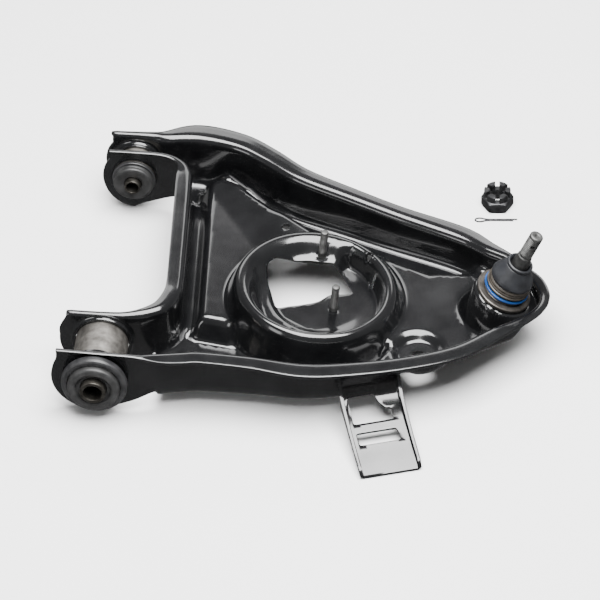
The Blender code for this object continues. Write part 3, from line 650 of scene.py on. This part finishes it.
def wall_strip(chain, ears):
    """Columns of wall points along a chain, and which of them carry the floor."""
    stations = spline(chain, WALL_SPACING)
    columns = []
    floors = []
    for i, station in enumerate(stations):
        ahead = stations[min(i + 1, len(stations) - 1)]
        behind = stations[max(i - 1, 0)]
        along = (ahead - behind)[:2]
        along = along / np.hypot(*along)
        inward = np.array((-along[1], along[0]))
        rear = station[1] > 0
        limit = FLOOR_START_REAR if rear else FLOOR_START_FRONT
        is_ear = station[0] < limit and abs(station[1]) > ears
        radius = ear_shape(station[1])[0]
        if is_ear and station[0] < 8:
            inward = np.array((0.0, round(inward[1])))
        if is_ear and station[0] <= -radius + 1.0:
            station[0] = -radius
        columns.append(wall_rows(station, inward, radius, is_ear, rear))
        floors.append(not is_ear)
    return columns, floors


def ring(centre, radius, count, squeeze=1.0):
    """A closed loop of plan points round a centre."""
    angles = [math.tau * k / count for k in range(count)]
    x, y = centre
    return [(x + radius / squeeze * math.cos(a), y + radius * math.sin(a)) for a in angles]


def pan_rings():
    """Loops that the floor mesh follows: centre, radius, squeeze."""
    rings = [(POCKET, r, 1.0) for r in (42, 45, 48, 60, 62, 64, 66, 67.5, 69, 70.5, 72, 73.5, 75,
                                         77, 79.5, 82, 84.5, 87, 89.5, 92, 95)]
    rings += [(DIMPLE, r, 1.0) for r in (10, 14, 17, 19, 21, 23, 25, 27, 30, 32)]
    rings += [((JOINT.x - BOSS_SHIFT, JOINT.y), BOSS_FOOT_R + d, 1.0)
              for d in (1.5, 3.0, 4.5, 6.0, 7.5)]
    lean = 1.0 / math.cos(LEAN)
    steps = 8
    for k in range(steps + 1):
        part = k / steps
        centre = (JOINT.x - BOSS_SHIFT * part, JOINT.y)
        rings.append((centre, mix(BOSS_R, BOSS_FOOT_R, part), mix(lean, 1.0, part)))
    return rings


def hole_loops():
    """Outlines pierced through the pan's floor."""
    loops = [[tuple(p) for p in spline(OPENING, 3.0, closed=True)]]
    loops.append(ring(DIMPLE, DIMPLE_HOLE_R, 32))
    loops.append(ring((JOINT.x, JOINT.y), JOINT_BORE_R, 72, 1.0 / math.cos(LEAN)))
    loops += [ring((x, y), radius, 24) for x, y, radius in DRAINS]
    loops += [ring(spot, STUD_HOLE_R, 20) for spot in STUDS.values()]
    return loops


def web_edge_points(spacing):
    """Plan points on lines beside the edge of the raised web."""
    found = []
    for a, b in zip(WEB_OUTLINE, WEB_OUTLINE[1:] + WEB_OUTLINE[:1]):
        a, b = np.array(a, float), np.array(b, float)
        length = float(np.hypot(*(b - a)))
        steps = max(1, round(length / spacing))
        across = np.array((-(b - a)[1], (b - a)[0])) / length
        for k in range(steps):
            for offset in (-0.5, -0.36, -0.24, -0.12, 0.0, 0.12, 0.24, 0.36, 0.5):
                spot = mix(a, b, (k + 0.5) / steps) + across * offset * WEB_BLEND
                gap = outline_distance(spot[0], spot[1], WEB_OUTLINE)[0] - offset * WEB_BLEND
                if abs(gap) < 0.4:
                    found.append(tuple(spot))
    return found


def pan_surface():
    """Mid-surface of the whole pressing: two wall strips joined by the pierced floor sheet."""
    points = []
    faces = []
    boundary = []
    for chain, ears in ((OUTER_WALL, 120.0), (INNER_WALL, 90.0)):
        columns, floors = wall_strip(chain, ears)
        start = len(points)
        height = len(columns[0])
        for i in range(len(columns) - 1):
            for k in range(height - 1):
                a = start + i * height + k
                faces.append((a, a + height, a + height + 1, a + 1))
        for i, column in enumerate(columns):
            points += column
            if floors[i]:
                boundary.append(start + i * height + height - 1)
    plan = [(points[i].x, points[i].y) for i in boundary]
    corners = list(plan)
    count = len(plan)
    edges = [(i, (i + 1) % count) for i in range(count)]
    holes = hole_loops()
    for loop in holes:
        first = len(plan)
        plan += loop
        edges += [(first + k, first + (k + 1) % len(loop)) for k in range(len(loop))]

    def clear(spots, edge_gap, hole_gap):
        xy = np.array(spots)
        kept = outline_distance(xy[:, 0], xy[:, 1], corners) > edge_gap
        for loop in holes:
            kept &= outline_distance(xy[:, 0], xy[:, 1], loop) < -hole_gap
        return kept

    rings = pan_rings()
    for centre, radius, squeeze in rings:
        steps = max(28, round(math.tau * radius / 3.2))
        circle = ring(centre, radius, steps, squeeze)
        kept = clear(circle, 1.2, 1.2)
        plan += [spot for spot, good in zip(circle, kept) if good]
    near_rings = GRID * 0.55

    def off_rings(spots):
        xy = np.array(spots)
        kept = np.ones(len(xy), bool)
        for centre, radius, squeeze in rings:
            kept &= abs(np.hypot((xy[:, 0] - centre[0]) * squeeze, xy[:, 1] - centre[1])
                        - radius) > near_rings
        return kept

    lines = web_edge_points(GRID)
    lines = [spot for spot, good in zip(lines, clear(lines, 1.5, 1.5) & off_rings(lines)) if good]
    plan += lines
    columns_x = np.arange(45.0, 430.0, GRID)
    rows_y = np.arange(-150.0, 172.0, GRID)
    cells = [(x, y + GRID * 0.5 * (i % 2)) for i, x in enumerate(columns_x) for y in rows_y]
    xy = np.array(cells)
    flat = abs(abs(outline_distance(xy[:, 0], xy[:, 1], WEB_OUTLINE))) > WEB_BLEND / 2 + 1.2
    kept = clear(cells, GRID * 0.5, GRID * 0.5) & off_rings(cells) & flat
    plan += [spot for spot, good in zip(cells, kept) if good]
    found = delaunay_2d_cdt([Vector(p) for p in plan], edges, [], 0, 1e-4)
    placed, triangles, origins = found[0], found[2], found[3]
    heights = web_height([p.x for p in placed], [p.y for p in placed])
    lookup = {}
    for i, sources in enumerate(origins):
        shared = [s for s in sources if s < count]
        if shared:
            lookup[i] = boundary[shared[0]]
        else:
            lookup[i] = len(points)
            points.append(Vector((placed[i].x, placed[i].y, heights[i])))
    middles = [sum((placed[i] for i in t), Vector((0.0, 0.0))) / len(t) for t in triangles]
    kept = clear([tuple(m) for m in middles], 0.0, 0.0)
    faces += [tuple(lookup[i] for i in t) for t, good in zip(triangles, kept) if good]
    return points, faces


def helper_cylinder(name, radius, low, high, where, steps=96):
    mesh = turned_mesh(name, ((0, high), (radius, high), (radius, low), (0, low)), steps, 0)
    mesh.transform(where)
    return linked(name, mesh)


def bush_frame(y, outward):
    """A frame on the bush axis whose Z points outward along Y."""
    return axis_frame((0, y, 0), (0, outward, 0), (1, 0, 0.06))


def build_pan(looks):
    points, faces = pan_surface()
    pan = linked("pressed_pan", mesh_from("pressed_pan", points, faces))
    add_sheet(pan, SHEET).use_quality_normals = True
    cutters = [helper_cylinder("front_bore", 28.6, -80, 20, bush_frame(-110, 1)),
               helper_cylinder("rear_bore", 23.0, -40, 40, bush_frame(158, 1))]
    for cutter in cutters:
        add_boolean(pan, cutter)
    soften_edges(pan, 0.55)
    mesh = finished_mesh(pan, cutters)
    add_piece("pressed_pan", mesh, "arm", looks["paint"], "arm_stamping", 50.0)
    for name, y, outward, bore, length in (
        ("front_inner_ear_collar", -101, -1, 26.8, 5.0),
        ("front_outer_ear_collar", -158.5, 1, 26.8, 9.0),
        ("rear_inner_ear_collar", 145.5, 1, 21.3, 7.0),
        ("rear_outer_ear_collar", 170.5, -1, 21.3, 7.0),
    ):
        face = SHEET / 2
        profile = [(bore, length), (bore + 2.4, length), (bore + 2.9, length - 0.6)]
        for k in range(7):
            a = math.pi / 2 * k / 6
            profile.append((bore + 6.4 - 3.5 * math.cos(a), face + 3.5 - 3.5 * math.sin(a)))
        profile += [(bore + 6.4, face - 0.6), (bore + 1.2, -face - 0.05), (bore, -face + 0.8)]
        turned(name, profile, bush_frame(y, outward), "arm", looks["paint"],
               radius=0.4)


# Bushes -------------------------------------------------------------------------------------

def build_bushes(looks):
    out = bush_frame(0, -1)
    face = FRONT_FACE
    turned("front_outer_sleeve", (
        (26.5, face + 1), (26.5, 92), (25.5, 91), (23.5, 91), (23.5, face + 1),
    ), out, "arm", looks["sleeve"], "front_bush_outer_sleeve", 128)
    turned("front_end_ring", (
        (27.0, face + 12.4), (31.2, face + 12.4), (32.8, face + 11.4), (33.5, face + 9),
        (33.3, face + 5), (31.6, face + 2.2), (30.6, face + 1.3), (24, face + 1.3),
        (24, face + 6), (27.0, face + 6),
    ), out, "arm", looks["washer"], "front_bush_flange", 128, 0.8)
    turned("front_rubber", (
        (20.5, face + 18.6), (24.4, face + 18.4), (26.0, face + 17.4), (26.6, face + 15.5),
        (26.6, face + 6.3), (23.7, face + 6.3), (23.7, face + 1.3), (23.2, face + 1), (23.2, 92),
        (21, 86), (16, 84), (13.5, 87), (13.5, face + 15.2), (15.2, face + 14.6),
        (17.2, face + 15.5), (18.5, face + 17.8),
    ), out, "arm", looks["rubber"], "front_bush_rubber", 128, 2.0)
    turned("front_inner_sleeve", (
        (9.3, 183), (13.2, 183), (13.2, 78), (9.3, 78),
    ), out, "front_bush_core", looks["core"], "front_bush_inner_sleeve",
        96, 0.9)
    face = -REAR_FACE
    turned("rear_outer_sleeve", (
        (21, face + 1), (21, -174), (20.4, -175), (18.5, -175), (18.5, face + 1),
    ), out, "arm", looks["sleeve"], "rear_bush_outer_sleeve", 112)
    turned("rear_end_ring", (
        (20.6, face + 4.6), (21.4, face + 4.4), (21.9, face + 3.6), (21.9, face + 1.8),
        (21.4, face + 1.3), (19, face + 1.3), (19, face + 4.6),
    ), out, "arm", looks["washer"], "rear_bush_flange", 112, 0.5)
    turned("rear_rubber", (
        (12.5, face + 11.8), (17.5, face + 12.6), (19.6, face + 12.0), (20.2, face + 10.4),
        (20.2, face + 8.6), (19.6, face + 8.0), (19.6, face + 7.4), (20.2, face + 6.8),
        (20.2, face + 4.9), (18.7, face + 4.9), (18.7, face + 1.3), (18.2, face + 1),
        (18.2, -174), (15, -178), (11, -178), (8.5, -175), (8.5, face + 11.2),
    ), out, "arm", looks["rubber"], "rear_bush_rubber", 112, 2.0)
    turned("rear_inner_sleeve", (
        (6.4, -126.5), (8.2, -126.5), (8.2, -191), (6.4, -191),
    ), out, "rear_bush_core", looks["core"], "rear_bush_inner_sleeve",
        80, 0.6)


# Ball joint ---------------------------------------------------------------------------------

def joint_frame():
    return axis_frame(JOINT, STUD_AXIS)


def thread_rows(top, bottom, pitch, rows_per_turn):
    count = round((top - bottom) / pitch * rows_per_turn)
    return [top + (bottom - top) * k / count for k in range(count + 1)]


def thread_wobble(top, bottom, pitch, outer, root):
    """Moves points of a plain cylinder onto a single-start thread that runs out at both ends."""
    def move(angle, r, z):
        if abs(r - outer) > 0.01 or not bottom <= z <= top:
            return r, z
        phase = (z / pitch + angle / math.tau) % 1.0
        groove = min(1.0, max(0.0, 1.35 * abs(2.0 * phase - 1.0) - 0.15))
        ends = min(1.0, (top - z) / pitch, (z - bottom) / pitch)
        return outer - (outer - root) * groove * max(0.0, ends), z
    return move


def build_ball_joint(looks):
    where = joint_frame()
    turned("joint_housing", (
        (19.6, 8.0), (20.6, 7.2), (20.6, 1.0), (21.3, 0.2), (27.6, 0.0), (28.5, -0.8),
        (28.5, -3.2), (28.0, -3.9), (25.0, -3.9), (24.5, -4.6), (24.5, -10.0), (20.4, -13.5),
        (20.2, -36.0), (19.0, -40.5), (16.0, -40.5), (16.0, -37.3), (17.2, -37.3),
        (17.2, -5.0), (14.2, -2.0), (14.2, 0.0), (18.6, 8.0),
    ), where, "arm", looks["housing"], "ball_joint_housing", 128, 0.5)
    turned("joint_cover", (
        (2.9, -37.6), (15.7, -37.6), (15.7, -40.5), (14.9, -41.5), (12, -43), (2.9, -44),
    ), where, "arm", looks["housing"], "ball_joint_cover", 96, 0.6)
    turned("clamp_ring", (
        (21.2, 6.6), (23.2, 6.3), (23.8, 5.5), (23.6, 4.3), (22.6, 3.7), (21.1, 3.7), (20.9, 4.2),
        (20.9, 6.2),
    ), where, "arm", looks["blue"], "boot_clamp_ring", 128, 0.5)
    bellows = turned("boot_bellows", (
        (20.2, 17.4), (21.2, 17.0), (22.3, 15.4), (21.2, 13.8), (22.3, 12.2), (21.4, 10.9),
        (22.8, 9.9), (22.8, 8.3), (20.6, 8.3), (19.9, 8.8), (19.5, 12.2), (18.7, 13.8),
        (19.6, 15.4), (19.1, 17.2),
    ), where, None, looks["bellows"], "dust_boot_lower", 128, 0.9)
    cone = turned("boot_cone", (
        (12.6, 37.6), (13.4, 37.2), (21.3, 23.2), (22.3, 20.6), (22.0, 18.7), (20.6, 17.8),
        (18.4, 17.7), (18.4, 18.8), (19.8, 19.8), (19.8, 21.4), (11.8, 35.6), (11.9, 37.2),
    ), where, None, looks["boot"], "dust_boot_upper", 128, 1.4)
    turned("boot_lip", (
        (12.0, 41.6), (13.4, 41.0), (13.8, 39.4), (13.4, 38.2), (12.4, 37.9), (9.9, 37.9),
        (9.9, 39.6), (11.2, 41.2),
    ), where, "boot_lip", looks["boot"], "boot_lip_ring", 112, 0.8)
    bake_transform(bellows)
    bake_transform(cone)
    build_ball_stud(looks, where)


def build_ball_stud(looks, where):
    """Ball, tapered shank with a cross hole, and a thread in its own material."""
    top, bottom, pitch, outer, root = 81.0, 55.0, 2.0, 7.0, 6.2
    profile = [(0.0, 80.4), (0.5, 80.2), (0.9, 80.0), (1.9, 81.9), (2.2, 82.3), (2.6, 82.6),
               (5.4, 82.6), (6.1, 82.3), (6.8, 81.7)]
    profile += [(outer, z) for z in thread_rows(top, bottom, pitch, 9)]
    profile += [(6.2, 54.6), (6.2, 53.0), (7.1, 52.4), (7.55, 52.1), (7.65, 51.7)]
    profile += [(mix(7.65, 9.5, k / 8), mix(51.7, 37.6, k / 8)) for k in range(1, 9)]
    profile += [(9.5, 30.0), (7.0, 15.0)]
    neck = math.acos(7.0 / BALL_R)
    for k in range(25):
        a = neck - (neck + math.radians(76)) * k / 24
        profile.append((BALL_R * math.cos(a), BALL_R * math.sin(a) - JOINT_DEPTH))
    profile.append((0.0, profile[-1][1]))
    mesh = turned_mesh("ball_stud_turned", profile, 72, 0,
                       thread_wobble(top, bottom, pitch, outer, root))
    mesh.transform(where)
    stud = linked("ball_stud_turned", mesh)
    spot = JOINT + STUD_AXIS * 70.5
    drill = helper_cylinder("cross_hole", 2.2, -12, 12, axis_frame(spot, (-0.12, 1, 0)), 32)
    add_boolean(stud, drill)
    mesh = finished_mesh(stud, [drill])
    add_piece("ball_stud_piece", mesh, "stud", looks["stud"], "ball_stud", 50.0)
    mesh.materials.append(looks["thread"])
    low = (place(JOINT) + STUD_AXIS * 53.5 * MM).dot(STUD_AXIS)
    for face in mesh.polygons:
        if face.center.dot(STUD_AXIS) > low:
            face.material_index = 1


def build_grease_fitting(looks):
    turned("grease_nipple", (
        (0, -38.6), (2.2, -38.6), (2.6, -39), (2.6, -44.8), (5.2, -44.8), (5.2, -49.2),
        (2.6, -49.2), (2.6, -54.0), (3.3, -55.2), (3.3, -60.0), (1.8, -61.2), (0, -61.2),
    ), joint_frame(), "arm", looks["zinc"], "grease_fitting", 48, 0.35)


# Pocket studs -------------------------------------------------------------------------------

def build_shock_studs(looks):
    for name, (x, y) in STUDS.items():
        where = axis_frame((x, y, float(web_height(x, y)[0])), (-POCKET_TILT, 0, 1))
        top, bottom = 31.2, 5.0
        head = STUD_HEADS[name]
        profile = [(0.0, 32.5), (2.6, 32.5), (3.3, 32.2), (3.7, 31.7)]
        profile += [(3.95, z) for z in thread_rows(top, bottom, 1.5, 9)]
        profile += [(3.9, 4.6), (4.0, 2.6), (4.0, head), (6.0, head), (6.2, head - 0.3),
                    (6.2, head - 2.2), (5.9, head - 2.5), (0.0, head - 2.5)]
        turned(name + "_piece", profile, where, "arm", looks["thread"], name,
               40, 0, thread_wobble(top, bottom, 1.5, 3.95, 3.3), 60.0)


# Bump-stop bracket --------------------------------------------------------------------------

def bracket_turn():
    return (Matrix.Translation(Vector((*BRACKET_ROOT, 0.0)))
            @ Matrix.Rotation(BRACKET_TURN, 4, "Z"))


def bracket_surface():
    """Mid-surface of the bracket: the unrolled outline, folded up at both sides and bent."""
    path = np.array(spline(BRACKET_PATH, 1.5))
    lengths = np.concatenate(([0.0], np.cumsum(np.hypot(*np.diff(path, axis=0).T))))
    total = float(lengths[-1])
    half = BRACKET_HALF - BRACKET_SHEET / 2
    fold = half - BRACKET_FOLD_R
    arc = BRACKET_FOLD_R * math.pi / 2

    def reach(s):
        """Unrolled half width at a distance along the plate."""
        t = s / total
        lift = mix(13.0, 7.0, float(smooth(t * 1.15)))
        return fold + arc + max(0.0, lift - BRACKET_FOLD_R)

    steps = round(total / 3.0)
    sides = [total * k / steps for k in range(steps + 1)]
    end_cut = 5.0
    outline = [(reach(s), s) for s in sides if s < total - end_cut]
    outline += [(fold + arc, total - 0.4), (fold, total)]
    outline += [(-a, s) for a, s in reversed(outline)]
    windows = [rounded([(a + total, s) for a, s in corners], 2.5, 5) for corners in (
        ((-23.0, 17.0), (4.0, 17.0), (8.0, 27.0), (13.0, 34.0), (18.5, 34.5), (18.5, 49.0),
         (-23.0, 49.0)),
        ((-23.0, 60.0), (17.5, 60.0), (19.5, 66.0), (19.5, 75.0), (-23.0, 75.0)),
    )]
    windows = [[(a - total, s) for a, s in loop] for loop in windows]
    plan = list(outline)
    edges = [(i, (i + 1) % len(plan)) for i in range(len(plan))]
    for loop in windows:
        first = len(plan)
        plan += loop
        edges += [(first + k, first + (k + 1) % len(loop)) for k in range(len(loop))]
    across = [0, 4, 8, 12, 16, fold - 3] + [fold + arc * k / 6 for k in range(7)]
    across += [fold + arc + d for d in (2.5, 5.0, 7.5)]
    across = sorted(set([-a for a in across] + across))
    cells = np.array([(a, s) for a in across for s in np.arange(1.0, total, 2.2)])
    kept = outline_distance(cells[:, 0], cells[:, 1], outline) > 0.8
    for loop in windows:
        kept &= outline_distance(cells[:, 0], cells[:, 1], loop) < -0.8
    plan += [tuple(c) for c, good in zip(cells, kept) if good]
    found = delaunay_2d_cdt([Vector(p) for p in plan], edges, [], 0, 1e-4)
    turn = bracket_turn()
    points = []
    for p in found[0]:
        side = abs(p.x)
        angle = min(1.0, max(0.0, (side - fold) / arc)) * math.pi / 2
        over = max(0.0, side - fold - arc)
        out = min(side, fold) + BRACKET_FOLD_R * math.sin(angle)
        up = BRACKET_FOLD_R * (1.0 - math.cos(angle)) + over
        s = min(max(p.y, 0.0), total)
        here = np.array([np.interp(s, lengths, path[:, k]) for k in (0, 1)])
        lean = 0.35 * (1.0 - s / total)
        points.append(turn @ Vector((math.copysign(out, p.x), -here[0] - up * lean,
                                     here[1] + up)))
    faces = []
    for t in found[2]:
        middle = sum((found[0][i] for i in t), Vector((0.0, 0.0))) / len(t)
        if outline_distance(middle.x, middle.y, outline)[0] <= 0.0:
            continue
        if any(outline_distance(middle.x, middle.y, loop)[0] > 0.0 for loop in windows):
            continue
        faces.append(tuple(t))
    return points, faces


def build_bracket(looks):
    points, faces = bracket_surface()
    bracket = linked("bracket", mesh_from("bracket", points, faces))
    add_sheet(bracket, BRACKET_SHEET).use_even_offset = True
    soften_edges(bracket, 0.45)
    mesh = finished_mesh(bracket)
    add_piece("bump_stop_bracket_piece", mesh, "arm", looks["paint"], "bump_stop_bracket",
              50.0)


# Stage --------------------------------------------------------------------------------------

def area_light(name, position, size, power):
    """A white area light that points at the origin."""
    light = bpy.data.lights.new(name, "AREA")
    light.shape = "RECTANGLE"
    light.size, light.size_y = size
    light.energy = power
    obj = linked(name, light)
    obj.location = position
    obj.rotation_euler = (-Vector(position)).to_track_quat("-Z", "Y").to_euler()


def build_stage():
    """Pale floor, and soft light from above and behind."""
    plane = bpy.data.meshes.new("floor")
    half = 6.0
    plane.from_pydata([(-half, -half, 0), (half, -half, 0), (half, half, 0), (-half, half, 0)],
                      [], [(0, 1, 2, 3)])
    floor = linked("floor", plane)
    f = Finish("floor")
    f.colour(f.noise(3, 2), (0.89, 0.89, 0.89), (0.91, 0.91, 0.91))
    f.roughness(f.noise(5, 2), 0.85, 0.9)
    plane.materials.append(f.material)
    floor.visible_glossy = False
    world = bpy.data.worlds.new("studio")
    bpy.context.scene.world = world
    world.use_nodes = True
    background = world.node_tree.nodes["Background"]
    background.inputs["Color"].default_value = (1.0, 1.0, 1.0, 1.0)
    background.inputs["Strength"].default_value = 0.22
    area_light("overhead", (0.15, -0.2, 2.1), (1.9, 1.9), 250)
    area_light("behind", (-0.2, 1.95, 1.15), (2.4, 0.7), 20)
    area_light("front_left", (-1.5, -1.7, 0.9), (0.7, 0.7), 8)


def build_camera():
    """A long lens, seven degrees round from the front and 42 degrees above the floor."""
    right = Vector(VIEW_RIGHT).normalized()
    up = Vector(VIEW_UP)
    up = (up - right * up.dot(right)).normalized()
    back = right.cross(up)
    camera_data = bpy.data.cameras.new("camera")
    camera_data.lens = CAMERA_LENS
    camera_data.sensor_width = 36.0
    camera_data.clip_start = 1.0
    camera_data.clip_end = 60.0
    camera = linked("camera", camera_data)
    aim = place((0, -183, 0)) + right * 0.2065 + up * 0.093 - back * 0.12
    turn = Matrix((right, up, back)).transposed().to_4x4()
    camera.matrix_world = Matrix.Translation(aim + back * CAMERA_DISTANCE) @ turn
    bpy.context.scene.camera = camera


# Nut and pin --------------------------------------------------------------------------------

def prism_helper(name, corners, low, high):
    count = len(corners)
    points = [(x, y, low) for x, y in corners] + [(x, y, high) for x, y in corners]
    faces = [tuple(range(count))[::-1], tuple(range(count, 2 * count))]
    faces += [(i, (i + 1) % count, count + (i + 1) % count, count + i) for i in range(count)]
    return linked(name, mesh_from(name, points, faces))


def build_nut(looks):
    """Castle nut: a chamfered hexagon, a round slotted crown and a threaded bore."""
    x, y, floor = NUT_SPOT
    top, bottom, pitch, bore = 18.4, 1.1, 2.0, 7.3
    profile = [(8.3, 19.5), (12.7, 19.5), (13.5, 18.8), (13.5, 12.0), (14.1, 11.7), (16.4, 10.5),
               (16.4, 1.3), (14.2, 0.0), (8.3, 0.0)]
    profile += [(bore, z) for z in reversed(thread_rows(top, bottom, pitch, 8))]
    mesh = turned_mesh("castle_nut_turned", profile, 84, 0,
                       thread_wobble(top, bottom, pitch, bore, 7.9))
    mesh.transform(axis_frame(NUT_SPOT, (0, 0, 1)))
    nut = linked("castle_nut_turned", mesh)
    angles = [NUT_TURN + math.tau * k / 6 for k in range(6)]
    corners = [(x + NUT_CORNER_R * math.cos(a), y + NUT_CORNER_R * math.sin(a)) for a in angles]
    helpers = [(prism_helper("hexagon", corners, floor - 5, floor + 30), "INTERSECT")]
    for k in range(3):
        a = angles[k] + math.tau / 12
        along, across = Vector((math.cos(a), math.sin(a))), Vector((-math.sin(a), math.cos(a)))
        ends = [Vector((x, y)) + along * s + across * w for s, w in
                ((-20, -2.1), (20, -2.1), (20, 2.1), (-20, 2.1))]
        slot = prism_helper(f"slot_{k}", [tuple(p) for p in ends], floor + SLOT_FLOOR, floor + 40)
        helpers.append((slot, "DIFFERENCE"))
    for other, operation in helpers:
        add_boolean(nut, other, operation)
    soften_edges(nut, 0.35, 50)
    mesh = finished_mesh(nut, [other for other, operation in helpers])
    add_piece("castle_nut_piece", mesh, "nut", looks["oxide"], "castle_nut",
              35.0)


def build_cotter_pin(looks):
    """Split pin: wire bent round an eye, with one leg longer than the other."""
    eye = [(-17.0 - 4.4 * math.cos(a), 2.7 * math.sin(a)) for a in
           (math.radians(122 - 24.4 * k) for k in range(11))]
    path = [(21.0, 0.85), (8.0, 0.8), (-8.0, 0.8), *eye, (-8.0, -0.8), (8.0, -0.8), (17.0, -0.85)]
    line = spline(path, 1.0)
    turn = axis_frame(PIN_SPOT, (0, 0, 1), (math.cos(PIN_TURN), math.sin(PIN_TURN), 0))
    sides, radius = 12, 0.75
    points = []
    for i, p in enumerate(line):
        ahead = line[min(i + 1, len(line) - 1)] - line[max(i - 1, 0)]
        ahead = ahead / np.hypot(*ahead)
        taper = 0.7 if i in (0, len(line) - 1) else 1.0
        for k in range(sides):
            a = math.tau * k / sides
            out = radius * taper * math.cos(a)
            up = radius * taper * math.sin(a)
            points.append(turn @ (Vector((p[0] - ahead[1] * out, p[1] + ahead[0] * out, up)) * MM))
    faces = [tuple(range(sides)), tuple(range(len(points) - sides, len(points)))]
    for i in range(len(line) - 1):
        for k in range(sides):
            a, b = i * sides + k, i * sides + (k + 1) % sides
            faces.append((a, b, b + sides, a + sides))
    mesh = clean_mesh("cotter_pin_wire", points, faces, 0.005)
    add_piece("cotter_pin_piece", mesh, "pin", looks["oxide"], "cotter_pin")


def carry_over(looks):
    """The hidden seat pieces keep their CAD shape and get a finished material."""
    for node, look in (("ball_seat_upper", "seat"), ("ball_seat_lower", "seat"),
                       ("preload_spring", "spring")):
        mesh = frame["nodes"][node].data
        mesh.materials.clear()
        mesh.materials.append(looks[look])


def main():
    looks = make_materials()
    build_stage()
    build_camera()
    build_pan(looks)
    build_bushes(looks)
    build_ball_joint(looks)
    build_grease_fitting(looks)
    build_shock_studs(looks)
    build_bracket(looks)
    build_nut(looks)
    build_cotter_pin(looks)
    carry_over(looks)


main()
